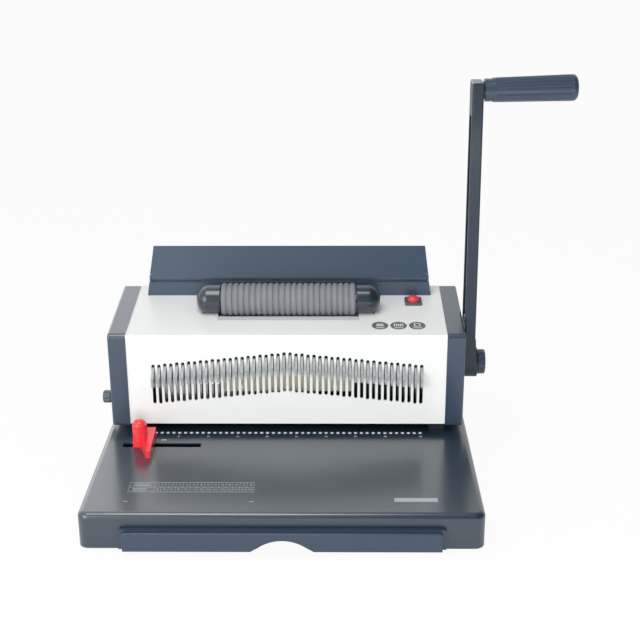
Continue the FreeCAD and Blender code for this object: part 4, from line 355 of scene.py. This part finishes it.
def piece(name, mesh, material, body, replaced=(), smooth=30.0):
    """Turn a bmesh into a finished piece that rides on a body."""
    data = bpy.data.meshes.new(name)
    mesh.to_mesh(data)
    mesh.free()
    data.materials.append(material)
    data.shade_smooth()
    data.set_sharp_from_angle(angle=math.radians(smooth))
    thing = bpy.data.objects.new(name, data)
    bpy.context.scene.collection.objects.link(thing)
    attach(thing, body)
    if replaced:
        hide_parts(*replaced)


def slab(mesh, x0, x1, y0, y1, z0, z1, round_by=0.0):
    """Box between two corners in a bmesh, with its upright edges rounded."""
    made = bmesh.ops.create_cube(mesh, size=1.0)["verts"]
    place = Matrix.Translation(((x0 + x1) / 2, (y0 + y1) / 2, (z0 + z1) / 2))
    size = Matrix.Diagonal((x1 - x0, y1 - y0, z1 - z0, 1.0))
    bmesh.ops.transform(mesh, matrix=place @ size, verts=made)
    if round_by:
        upright = []
        for edge in dict.fromkeys(edge for vert in made for edge in vert.link_edges):
            way = edge.verts[0].co - edge.verts[1].co
            if abs(way.x) + abs(way.y) < UPRIGHT_SLACK:
                upright.append(edge)
        made = bmesh.ops.bevel(mesh, geom=upright, offset=round_by, offset_type="OFFSET",
                               segments=CORNER_STEPS, profile=0.5, affect="EDGES", material=-1)["verts"]
    return made


def add_text(mesh, text, size, place, weight=0.0):
    """Plain characters laid into a bmesh by a matrix, centred on its origin."""
    curve = bpy.data.curves.new("characters", "FONT")
    curve.body = text
    curve.size = size
    curve.offset = weight
    curve.align_x = "CENTER"
    curve.align_y = "CENTER"
    curve.extrude = PRINT_DEPTH / 2
    curve.resolution_u = 3
    holder = bpy.data.objects.new("characters", curve)
    bpy.context.scene.collection.objects.link(holder)
    bpy.context.view_layer.update()
    data = bpy.data.meshes.new_from_object(holder)
    data.transform(place @ Matrix.Translation((0, 0, PRINT_MIDDLE)))
    mesh.from_mesh(data)
    bpy.data.objects.remove(holder)
    bpy.data.meshes.remove(data)
    bpy.data.curves.remove(curve)


def on_table(x, y):
    """Place on the paper table, measured from its middle and the front wall."""
    return Matrix.Translation((MIDDLE_X + x, WALL_Y + y, TABLE_TOP))


class COIL_OT_base(bpy.types.Operator):
    """Finish the base, its feet, the chip tray and the frame inside"""
    bl_idname = "coil_punch.base"
    bl_label = "Base and tray"

    def execute(self, context):
        colours = context.scene.coil_finish
        table = sprayed("table_paint", colours.slate, 0.4, peel=1100.0, bump=0.04, vary=0.04, specks=0.12,
                        coat=1.0, coat_rough=0.2, coat_ior=1.75)
        tray = sprayed("tray_paint", colours.cover, 0.36, peel=1000.0, bump=0.15, vary=0.06, coat=0.7)
        rubber = sprayed("foot_rubber", tone(28, 28, 30), 0.8, peel=700.0, bump=0.5)
        plate = drawn_metal("frame_steel", tone(96, 98, 102), 0.45)
        paint(table, "base_platform")
        paint(tray, "chip_tray", "base_pan")
        paint(rubber, "rubber_feet")
        paint(plate, "left_frame_plate", "right_frame_plate", "cross_bar", "tray_runners", "throat_spacers",
              "foot_screws", "frame_screws")
        return {"FINISHED"}


class COIL_OT_housing(bpy.types.Operator):
    """Finish the white housing, the side covers and the rear"""
    bl_idname = "coil_punch.housing"
    bl_label = "Housing and covers"

    def execute(self, context):
        colours = context.scene.coil_finish
        enamel = sprayed("white_enamel", colours.white, 0.32, peel=1000.0, bump=0.12, vary=0.01, specks=0.0)
        cover = sprayed("cover_plastic", colours.cover, 0.34, peel=1300.0, bump=0.12, vary=0.05, specks=0.2,
                        coat=1.0, coat_rough=0.22, coat_ior=1.6)
        rear = sprayed("rear_paint", colours.slate, 0.45, bump=0.3)
        dark = sprayed("inlet_plastic", tone(26, 27, 30), 0.4, peel=1200.0, bump=0.3)
        screw = drawn_metal("screw_steel", tone(170, 172, 176), 0.3)
        board = sprayed("board_lacquer", tone(20, 84, 50), 0.35, peel=500.0, bump=0.2)
        paint(enamel, "front_housing")
        paint(cover, "left_side_cover", "right_side_cover")
        paint(rear, "rear_panel")
        paint(dark, "power_inlet")
        paint(screw, "rear_screws")
        paint(board, "control_board")
        return {"FINISHED"}


class COIL_OT_punch(bpy.types.Operator):
    """Finish the die, the beam, its pins and the pull tabs"""
    bl_idname = "coil_punch.punch"
    bl_label = "Punch unit"

    # Painted shade on the pull tabs behind the wall: its near black colour, and the depths behind the wall
    # where it starts and where it is full
    BLACKENED = (0.014, 0.017, 0.022)
    BLACK_START = 0.001
    BLACK_FULL = 0.003

    def execute(self, context):
        colours = context.scene.coil_finish
        upright = (0.0, math.radians(90), 0.0)
        tabs = self.plating()
        olive = sprayed("beam_plating", colours.olive, 0.45, peel=300.0, bump=0.1, vary=0.06, specks=0.0)
        bright = drawn_metal("bright_steel", tone(225, 227, 230), 0.25)
        zinc = sprayed("screw_zinc", tone(236, 238, 240), 0.3)
        pins = drawn_metal("pin_steel", tone(62, 66, 72), 0.45, upright)
        dark = drawn_metal("oiled_steel", tone(46, 47, 50), 0.5)
        paint(tabs, "pin_tabs")
        paint(olive, "punch_beam")
        paint(zinc, "beam_screws")
        paint(bright, "depth_stop_bar", "depth_cam")
        paint(pins, "punch_pins", "guide_rods", "return_springs")
        paint(dark, "die_plate", "pin_guide_plate", "punch_racks", "pinions")
        return {"FINISHED"}

    def plating(self):
        """Speckled zinc on the pull tabs, with painted shade where they run behind the wall."""
        finish = Finish("tab_plating_and_painted_shade", tone(156, 161, 164), 0.4)
        skin = finish.add("sprayed_skin", skin_group, Peel=900.0, Patch=620.0)
        zinc = finish.mix(skin.outputs["Mottle"], finish.shade(0.5), finish.shade(1.5))
        split = finish.tree.nodes.new("ShaderNodeSeparateXYZ")
        finish.tree.links.new(finish.vector, split.inputs[0])
        # Painted shade: the tab colour turns near black behind the wall, where shade falls
        inside = spread(finish.tree, split.outputs["Y"], WALL_Y + self.BLACK_START,
                        WALL_Y + self.BLACK_FULL)
        finish.link(finish.mix(inside, zinc, self.BLACKENED), "Base Color")
        finish.bump(skin.outputs["Height"], 0.5)
        return finish.material


class COIL_OT_handle(bpy.types.Operator):
    """Finish the shaft, hub, arm, grip and clamp knob"""
    bl_idname = "coil_punch.handle"
    bl_label = "Handle"

    def execute(self, context):
        colours = context.scene.coil_finish
        arm = sprayed("arm_paint", colours.arm, 0.34, peel=1100.0, bump=0.1, vary=0.05, coat=0.6,
                      coat_rough=0.12)
        grip = sprayed("grip_plastic", colours.cover, 0.42, peel=800.0, bump=0.3, vary=0.05, specks=0.2,
                       coat=1.0, coat_rough=0.15)
        steel = drawn_metal("shaft_steel", tone(180, 182, 186), 0.3)
        bronze = drawn_metal("bush_bronze", tone(190, 160, 96), 0.35)
        paint(grip, "handle_grip", "handle_knob")
        paint(arm, "handle_arm", "handle_hub", "grip_washer")
        paint(steel, "main_shaft", "arm_screws", "grip_bolt")
        paint(bronze, "shaft_bushes")
        return {"FINISHED"}


class COIL_OT_roller(bpy.types.Operator):
    """Finish the roller unit and turn its ringed rubber sleeve"""
    bl_idname = "coil_punch.roller"
    bl_label = "Roller unit"

    BORE_SHARE = 0.3
    RING_STEPS = 8
    RING_FULLNESS = 0.42
    ROUND_STEPS = 72

    def execute(self, context):
        colours = context.scene.coil_finish
        cap = sprayed("cap_plastic", colours.cap, 0.3, peel=1300.0, bump=0.05, vary=0.04, specks=0.1,
                      coat=1.0, coat_rough=0.16)
        trough = sprayed("trough_paint", tone(206, 208, 212), 0.35, bump=0.1, vary=0.03, specks=0.0)
        bracket = drawn_metal("bracket_steel", tone(150, 152, 156), 0.4)
        black = sprayed("pulley_plastic", tone(30, 31, 34), 0.45)
        motor = drawn_metal("motor_shell", tone(150, 152, 156), 0.35)
        paint(cap, "left_end_cap", "right_end_cap")
        paint(trough, "roller_trough")
        paint(bracket, "motor_bracket")
        paint(black, "roller_pulley", "drive_belt")
        paint(motor, "drive_motor", "motor_pulley", "roller_shaft", "roller_bushes")
        self.sleeve(context)
        return {"FINISHED"}

    def rubber(self, colour):
        """Matt rubber with a soft mottle."""
        finish = Finish("roller_rubber", colour, 0.6)
        skin = finish.add("sprayed_skin", skin_group, Peel=500.0, Patch=60.0)
        finish.link(finish.mix(skin.outputs["Mottle"], finish.shade(0.9), finish.shade(1.12)), "Base Color")
        finish.bump(skin.outputs["Height"], 0.3, SKIN_DEPTH * 2)
        return finish.material

    def outline(self, shape):
        """Half section of the sleeve: places along its axis, with their distances from it."""
        radius = (ROLLER_HIGH.z - ROLLER_LOW.z) / 2
        root = radius - shape.groove_depth
        bore = radius * self.BORE_SHARE
        pitch = (ROLLER_HIGH.x - ROLLER_LOW.x) / shape.rings
        width = pitch * (1 - shape.groove_share)
        points = [(ROLLER_LOW.x, bore)]
        for ring in range(shape.rings):
            left = ROLLER_LOW.x + ring * pitch
            start = left + pitch * shape.groove_share / 2
            points.append((left, root))
            for step in range(self.RING_STEPS + 1):
                angle = math.pi * step / self.RING_STEPS
                x = start + width * (1 - math.cos(angle)) / 2
                points.append((x, root + shape.groove_depth * math.sin(angle) ** self.RING_FULLNESS))
        return points + [(ROLLER_HIGH.x, root), (ROLLER_HIGH.x, bore)]

    def sleeve(self, context):
        """Rubber sleeve with rounded rings, spun round the roller's axis."""
        axis = Vector((0, (ROLLER_LOW.y + ROLLER_HIGH.y) / 2, (ROLLER_LOW.z + ROLLER_HIGH.z) / 2))
        points = self.outline(context.scene.coil_roller)
        mesh = bmesh.new()
        verts = [mesh.verts.new((x, axis.y, axis.z + height)) for x, height in points]
        edges = [mesh.edges.new(pair) for pair in zip(verts, verts[1:] + verts[:1])]
        bmesh.ops.spin(mesh, geom=verts + edges, cent=axis, axis=(1, 0, 0), angle=math.tau,
                       steps=self.ROUND_STEPS, use_merge=True)
        bmesh.ops.recalc_face_normals(mesh, faces=mesh.faces)
        material = self.rubber(context.scene.coil_finish.rubber)
        piece("roller_rings", mesh, material, "roller", ("roller_sleeve",), smooth=50.0)


class COIL_OT_lid(bpy.types.Operator):
    """Finish the rear rail and the lid"""
    bl_idname = "coil_punch.lid"
    bl_label = "Rail and lid"

    def execute(self, context):
        lid = sprayed("lid_paint", context.scene.coil_finish.lid, 0.4, bump=0.1, vary=0.05, specks=0.2,
                      coat=0.8, coat_rough=0.3)
        steel = drawn_metal("hinge_steel", tone(170, 172, 176), 0.3)
        paint(lid, "rear_lid", "rear_rail")
        paint(steel, "lid_hinge_pins")
        return {"FINISHED"}


class COIL_OT_controls(bpy.types.Operator):
    """Finish the push button, the edge stop and the depth knob"""
    bl_idname = "coil_punch.controls"
    bl_label = "Button, stops and knobs"

    def execute(self, context):
        colours = context.scene.coil_finish
        red = sprayed("stop_plastic", colours.red, 0.26, peel=1200.0, bump=0.08, vary=0.04, specks=0.0,
                      coat=0.5)
        button = sprayed("button_plastic", colours.button, 0.28, peel=1200.0, bump=0.1, vary=0.05,
                         specks=0.0)
        bezel = sprayed("bezel_plastic", tone(84, 86, 92), 0.36)
        knob = sprayed("knob_plastic", tone(88, 98, 108), 0.4)
        nut = drawn_metal("nut_steel", tone(170, 172, 176), 0.35)
        paint(red, "edge_stop", "edge_stop_knob")
        paint(button, "button_cap")
        paint(bezel, "button_bezel", "button_switch")
        paint(knob, "depth_knob")
        paint(nut, "edge_stop_nut")
        return {"FINISHED"}


class COIL_OT_print(bpy.types.Operator):
    """Print the hole scale, the size chart and the round badges"""
    bl_idname = "coil_punch.print"
    bl_label = "Printed marks"

    # The scale under the punches; a place is metres right of the middle and behind the front wall
    HOLES = 46
    TAB_WIDTH = 0.0024
    NUMERALS = (5, 10, 15, 20, 25, 30, 35, 40, 46)
    DASH_ROUND = 0.9
    NUMERAL_DROP = 1.9
    SHEET_MARKS = ((-0.1386, -0.1378), (-0.1342, -0.1322), (-0.1314, -0.1294))
    SHEET_MARK_FRONT = -0.0208
    SHEET_MARK_REAR = -0.0192

    # The chart, two rows of numbers behind a head with two drawn lines in each row
    CHART_LEFT = -0.1525
    CHART_RIGHT = -0.0286
    CHART_REAR = -0.1147
    CHART_FRONT = -0.134
    COIL_SIZES = (6, 8, 10, 12, 14, 16, 18, 20, 22, 25, 28, 30, 32, 38)
    SHEETS = (20, 45, 60, 80, 90, 110, 130, 150, 165, 180, 200, 230, 260, 290)
    NUMBER_HEIGHT = 0.0044
    NUMBER_STRETCH = (0.75, 1.25, 1.0, 1.0)
    NUMBER_WEIGHT = -0.00005
    HEAD_WIDTH = 0.025
    HEAD_MARGIN = 0.004
    HEAD_SHORTER = 0.003
    HEAD_DROP = 0.0048
    HEAD_LINES = (-0.0014, 0.0014)
    HEAD_HALF = 0.0005

    # Corner marks in front of the chart, and the plain bar at the right
    CORNER_GAP = 0.001
    CORNER_FRONT = -0.1535
    CORNER_LENGTH = 0.004
    CORNER_WIDTH = 0.001
    CORNER_DEPTH = 0.003
    BAR = (0.109, 0.151, -0.1525, -0.1455)

    # The badges on the sloping top, and the bars of their signs as left, right, front and rear
    TOP_SLOPE = math.radians(6.0)
    BADGES = (0.0996, 0.1194, 0.1394)
    BADGE_BACK = 0.0235
    BADGE_SEGMENTS = 48
    SIGN_FOOT = ((-0.005, 0.005, -0.0042, -0.0036), (-0.0038, 0.0038, -0.0058, -0.0052))
    SIGN_PITCH = 0.0022
    SHEET_ROWS = 3
    SHEET_HALF = 0.0042
    SHEET_SHORTER = 0.0004
    SHEET_THICK = 0.0012
    COIL_RINGS = 5
    COIL_LEFT = -0.0048
    RING_WIDTH = 0.001
    RING_REACH = (-0.0014, 0.0044)
    COIL_CORE = (-0.0048, 0.005, 0.0012, 0.0018)
    PAGE_EDGES = ((-0.0034, -0.0024, -0.0016, 0.0054), (0.0024, 0.0034, -0.0016, 0.0054),
                  (-0.0024, 0.0024, 0.0044, 0.0054), (-0.0024, 0.0024, -0.0016, -0.0006))

    def execute(self, context):
        sizes = context.scene.coil_print
        colours = context.scene.coil_finish
        ink = sprayed("white_print", colours.ink, 0.5, peel=1200.0, bump=0.05, vary=0.05, specks=0.0)
        chart_ink = sprayed("chart_ink", colours.chart_ink, 0.5, peel=1200.0, bump=0.05, vary=0.05,
                            specks=0.0)
        self.scale(sizes, ink)
        self.chart(sizes, chart_ink)
        self.badges(sizes, ink)
        return {"FINISHED"}

    def strip(self, mesh, x0, x1, y0, y1, round_by=0.0):
        """Flat printed patch on the table."""
        slab(mesh, MIDDLE_X + x0, MIDDLE_X + x1, WALL_Y + y0, WALL_Y + y1, TABLE_TOP - PRINT_SINK,
             TABLE_TOP + PRINT_RISE, round_by)

    def scale(self, sizes, ink):
        """One rounded mark under every punch, with a numeral at every fifth and at the last."""
        mesh = bmesh.new()
        pitch = (TAB_HIGH.x - TAB_LOW.x - self.TAB_WIDTH) / (self.HOLES - 1)
        rear = -sizes.scale_gap + sizes.dash_depth / 2
        front = rear - sizes.dash_depth
        half = sizes.dash_length / 2
        for hole in range(self.HOLES):
            x = ROW_X - MIDDLE_X + (hole - (self.HOLES - 1) / 2) * pitch
            self.strip(mesh, x - half, x + half, front, rear, half * self.DASH_ROUND)
            if hole + 1 in self.NUMERALS:
                place = on_table(x, front - sizes.numeral * self.NUMERAL_DROP)
                add_text(mesh, str(hole + 1), sizes.numeral, place)
        for left, right in self.SHEET_MARKS:
            self.strip(mesh, left, right, self.SHEET_MARK_FRONT, self.SHEET_MARK_REAR)
        piece("scale_print", mesh, ink, "frame")

    def chart(self, sizes, ink):
        """Grid of coil sizes over sheet counts, with its corner marks and the plain bar."""
        mesh = bmesh.new()
        half = sizes.line / 2
        middle = (self.CHART_REAR + self.CHART_FRONT) / 2
        first = self.CHART_LEFT + self.HEAD_WIDTH
        width = (self.CHART_RIGHT - first) / sizes.columns
        for y in (self.CHART_REAR, middle, self.CHART_FRONT):
            self.strip(mesh, self.CHART_LEFT - half, self.CHART_RIGHT + half, y - half * 2, y + half * 2)
        for x in [self.CHART_LEFT] + [first + width * column for column in range(sizes.columns + 1)]:
            self.strip(mesh, x - half, x + half, self.CHART_FRONT, self.CHART_REAR)
        for column in range(sizes.columns):
            x = first + width * (column + 0.5)
            self.number(mesh, self.COIL_SIZES[column], x, (self.CHART_REAR + middle) / 2)
            self.number(mesh, self.SHEETS[column], x, (self.CHART_FRONT + middle) / 2)
        self.chart_head(mesh, first, middle)
        self.strip(mesh, *self.BAR)
        self.corners(mesh, half)
        piece("chart_print", mesh, ink, "frame")

    def number(self, mesh, value, x, y):
        """One thin, narrow number of the chart."""
        place = on_table(x, y) @ Matrix.Diagonal(self.NUMBER_STRETCH)
        add_text(mesh, str(value), self.NUMBER_HEIGHT, place, self.NUMBER_WEIGHT)

    def chart_head(self, mesh, first, middle):
        """Two drawn lines in the head of each row, shorter in the second."""
        left = self.CHART_LEFT + self.HEAD_MARGIN
        for row, top in enumerate((self.CHART_REAR, middle)):
            right = first - self.HEAD_MARGIN - self.HEAD_SHORTER * row
            for line in self.HEAD_LINES:
                y = top - self.HEAD_DROP + line
                self.strip(mesh, left, right, y - self.HEAD_HALF, y + self.HEAD_HALF)

    def corners(self, mesh, half):
        """Corner mark at each end of the chart, just outside it, at the front edge."""
        front = self.CORNER_FRONT
        for side, x in ((1, self.CHART_LEFT - self.CORNER_GAP), (-1, self.CHART_RIGHT + self.CORNER_GAP)):
            inner = x + side * self.CORNER_LENGTH
            self.strip(mesh, min(x, inner), max(x, inner), front, front + self.CORNER_WIDTH)
            self.strip(mesh, x - half, x + half, front, front + self.CORNER_DEPTH)

    def badges(self, sizes, ink):
        """Three round badges on the sloping top, each with a plain sign."""
        fold = HOUSING_HIGH.z - (HOUSING_HIGH.y - WALL_Y) * math.tan(self.TOP_SLOPE)
        y = WALL_Y + self.BADGE_BACK * math.cos(self.TOP_SLOPE)
        z = fold + self.BADGE_BACK * math.sin(self.TOP_SLOPE)
        discs = bmesh.new()
        signs = bmesh.new()
        for x, bars in zip(self.BADGES, (self.sheet_bars(), self.coil_bars(), self.PAGE_EDGES)):
            place = Matrix.Translation((MIDDLE_X + x, y, z)) @ Matrix.Rotation(self.TOP_SLOPE, 4, "X")
            middle = place @ Matrix.Translation((0, 0, PRINT_MIDDLE))
            bmesh.ops.create_cone(discs, cap_ends=True, segments=self.BADGE_SEGMENTS,
                                  radius1=sizes.badge / 2, radius2=sizes.badge / 2, depth=PRINT_DEPTH,
                                  matrix=middle)
            for bar in (*self.SIGN_FOOT, *bars):
                made = slab(signs, *bar, -PRINT_SINK, PRINT_RISE)
                raised = place @ Matrix.Translation((0, 0, PRINT_RISE))
                bmesh.ops.transform(signs, matrix=raised, verts=made)
        grey = sprayed("badge_print", tone(98, 99, 103), 0.45, bump=0.05)
        piece("badge_discs", discs, grey, "frame")
        piece("badge_signs", signs, ink, "frame")

    def sheet_bars(self):
        """Stacked sheets, each a little shorter than the one before it."""
        bars = []
        for row in range(self.SHEET_ROWS):
            half = self.SHEET_HALF - row * self.SHEET_SHORTER
            rear = row * self.SIGN_PITCH
            bars.append((-half, half, rear - self.SHEET_THICK, rear))
        return bars

    def coil_bars(self):
        """Row of rings on a thin core."""
        bars = []
        for ring in range(self.COIL_RINGS):
            left = self.COIL_LEFT + ring * self.SIGN_PITCH
            bars.append((left, left + self.RING_WIDTH, *self.RING_REACH))
        return bars + [self.COIL_CORE]


class COIL_OT_stage(bpy.types.Operator):
    """Set the floor, the lamps, the room light and the camera"""
    bl_idname = "coil_punch.stage"
    bl_label = "Stage"

    TARGET = (MIDDLE_X, 0.0, 0.12)
    KEY_PLACE = (-1.2, -1.5, 0.75)
    KEY_SIZE = 1.2
    FILL_PLACE = (0.1, -1.9, 0.5)
    FILL_SIZE = 0.9
    TOP_PLACE = (-0.25, -0.35, 1.5)
    TOP_SIZE = 0.7
    FLOOR_HALF = 6.0
    FLOOR_PAINT = (0.9, 0.9, 0.9, 1)
    FLOOR_GLOW = 0.94
    ROOM_TINT = (0.96, 0.98, 1.0, 1)
    ROOM_WHITE = (0.98, 0.98, 0.98, 1)
    LEFT_RANGE = (-0.28, 0.12)
    BACK_RANGE = (0.2, 0.8)
    CAMERA_PLACE = (MIDDLE_X + 0.051, WALL_Y - 1.18612, 0.62339)
    CAMERA_YAW = 0.734
    CAMERA_DOWN = 20.885
    CAMERA_ROLL = -0.254
    CAMERA_SENSOR = 36.0

    def execute(self, context):
        settings = context.scene.coil_stage
        context.scene.view_settings.view_transform = "Standard"
        self.floor()
        self.room(context, settings)
        self.lamp("key_lamp", settings.key, self.KEY_PLACE, self.KEY_SIZE)
        fill = self.lamp("fill_lamp", settings.fill, self.FILL_PLACE, self.FILL_SIZE)
        fill.visible_glossy = False
        self.lamp("top_lamp", settings.top, self.TOP_PLACE, self.TOP_SIZE)
        self.camera(context, settings)
        return {"FINISHED"}

    def looked_at(self, tree, *kinds):
        """One for a ray of any of these kinds, zero for others."""
        path = tree.nodes.new("ShaderNodeLightPath")
        looked = path.outputs[kinds[0]]
        for kind in kinds[1:]:
            looked = combine(tree, "MAXIMUM", looked, path.outputs[kind])
        return looked

    def floor(self):
        """Wide floor that looks nearly white, keeps a faint shadow and is dim in reflections."""
        mesh = bmesh.new()
        bmesh.ops.create_grid(mesh, x_segments=1, y_segments=1, size=self.FLOOR_HALF)
        data = bpy.data.meshes.new("floor")
        mesh.to_mesh(data)
        mesh.free()
        floor = bpy.data.objects.new("floor", data)
        bpy.context.scene.collection.objects.link(floor)
        material = bpy.data.materials.new("floor_white")
        material.use_nodes = True
        tree = material.node_tree
        tree.nodes.clear()
        out = tree.nodes.new("ShaderNodeOutputMaterial")
        diffuse = tree.nodes.new("ShaderNodeBsdfDiffuse")
        diffuse.inputs["Color"].default_value = self.FLOOR_PAINT
        glow = tree.nodes.new("ShaderNodeEmission")
        glow.inputs["Strength"].default_value = 1.0
        mix = tree.nodes.new("ShaderNodeMixShader")
        looked = self.looked_at(tree, "Is Camera Ray", "Is Transmission Ray")
        tree.links.new(combine(tree, "MULTIPLY", looked, self.FLOOR_GLOW), mix.inputs[0])
        tree.links.new(diffuse.outputs[0], mix.inputs[1])
        tree.links.new(glow.outputs[0], mix.inputs[2])
        tree.links.new(mix.outputs[0], out.inputs["Surface"])
        data.materials.append(material)

    def room(self, context, settings):
        """Even light from all sides, a white background, and brighter left and back for gloss."""
        world = bpy.data.worlds.new("room")
        context.scene.world = world
        world.use_nodes = True
        tree = world.node_tree
        tree.nodes.clear()
        out = tree.nodes.new("ShaderNodeOutputWorld")
        soft = tree.nodes.new("ShaderNodeBackground")
        soft.inputs["Color"].default_value = self.ROOM_TINT
        soft.inputs["Strength"].default_value = settings.sky
        white = tree.nodes.new("ShaderNodeBackground")
        white.inputs["Color"].default_value = self.ROOM_WHITE
        place = tree.nodes.new("ShaderNodeTexCoord")
        split = tree.nodes.new("ShaderNodeSeparateXYZ")
        tree.links.new(place.outputs["Generated"], split.inputs[0])
        aside = spread(tree, split.outputs["X"], *self.LEFT_RANGE, settings.left, settings.front)
        behind = spread(tree, split.outputs["Y"], *self.BACK_RANGE)
        behind = combine(tree, "MULTIPLY", behind, settings.back)
        mirrored = combine(tree, "MULTIPLY", combine(tree, "ADD", behind, aside),
                           self.looked_at(tree, "Is Glossy Ray"))
        strength = combine(tree, "MAXIMUM", mirrored, self.looked_at(tree, "Is Camera Ray"))
        tree.links.new(strength, white.inputs["Strength"])
        mix = tree.nodes.new("ShaderNodeMixShader")
        looked = self.looked_at(tree, "Is Camera Ray", "Is Glossy Ray", "Is Transmission Ray")
        tree.links.new(looked, mix.inputs[0])
        tree.links.new(soft.outputs[0], mix.inputs[1])
        tree.links.new(white.outputs[0], mix.inputs[2])
        tree.links.new(mix.outputs[0], out.inputs["Surface"])

    def lamp(self, name, power, place, size):
        """Square soft lamp that points at the machine."""
        data = bpy.data.lights.new(name, "AREA")
        data.shape = "SQUARE"
        data.size = size
        data.energy = power
        lamp = bpy.data.objects.new(name, data)
        bpy.context.scene.collection.objects.link(lamp)
        lamp.location = place
        lamp.rotation_euler = (Vector(self.TARGET) - Vector(place)).to_track_quat("-Z", "Y").to_euler()
        return lamp

    def camera(self, context, settings):
        """Camera at the angle of the photograph."""
        data = bpy.data.cameras.new("camera")
        data.lens = settings.lens
        data.sensor_fit = "HORIZONTAL"
        data.sensor_width = self.CAMERA_SENSOR
        data.dof.use_dof = False
        camera = bpy.data.objects.new("camera", data)
        context.scene.collection.objects.link(camera)
        turn = Matrix.Rotation(math.radians(self.CAMERA_YAW), 4, "Z")
        turn = turn @ Matrix.Rotation(math.radians(90 - self.CAMERA_DOWN), 4, "X")
        turn = turn @ Matrix.Rotation(math.radians(self.CAMERA_ROLL), 4, "Z")
        camera.matrix_world = Matrix.Translation(self.CAMERA_PLACE) @ turn
        context.scene.camera = camera


STEPS = (COIL_OT_base, COIL_OT_housing, COIL_OT_punch, COIL_OT_handle, COIL_OT_roller, COIL_OT_lid,
         COIL_OT_controls, COIL_OT_print, COIL_OT_stage)
SETTINGS = {"coil_finish": FinishSettings, "coil_print": PrintSettings, "coil_roller": RollerSettings,
            "coil_stage": StageSettings}


class COIL_PT_panel(bpy.types.Panel):
    """Buttons of every step and the settings they read"""
    bl_idname = "COIL_PT_panel"
    bl_label = "Coil punching machine"
    bl_space_type = "VIEW_3D"
    bl_region_type = "UI"
    bl_category = "Coil punch"

    def draw(self, context):
        for step in STEPS:
            self.layout.operator(step.bl_idname)
        for name, group in SETTINGS.items():
            box = self.layout.box()
            box.label(text=group.__doc__)
            for label in group.__annotations__:
                box.prop(getattr(context.scene, name), label)


def register():
    """Register the settings, the steps and the panel."""
    for name, group in SETTINGS.items():
        bpy.utils.register_class(group)
        setattr(bpy.types.Scene, name, PointerProperty(type=group))
    for step in STEPS:
        bpy.utils.register_class(step)
    bpy.utils.register_class(COIL_PT_panel)


def unregister():
    """Take away the panel, the steps and the settings."""
    bpy.utils.unregister_class(COIL_PT_panel)
    for step in reversed(STEPS):
        bpy.utils.unregister_class(step)
    for name, group in SETTINGS.items():
        delattr(bpy.types.Scene, name)
        bpy.utils.unregister_class(group)


def main():
    """Register the settings and steps, then run every step in order."""
    register()
    for step in STEPS:
        name = step.bl_idname.split(".")[1]
        getattr(bpy.ops.coil_punch, name)()


if __name__ == "__main__":
    main()
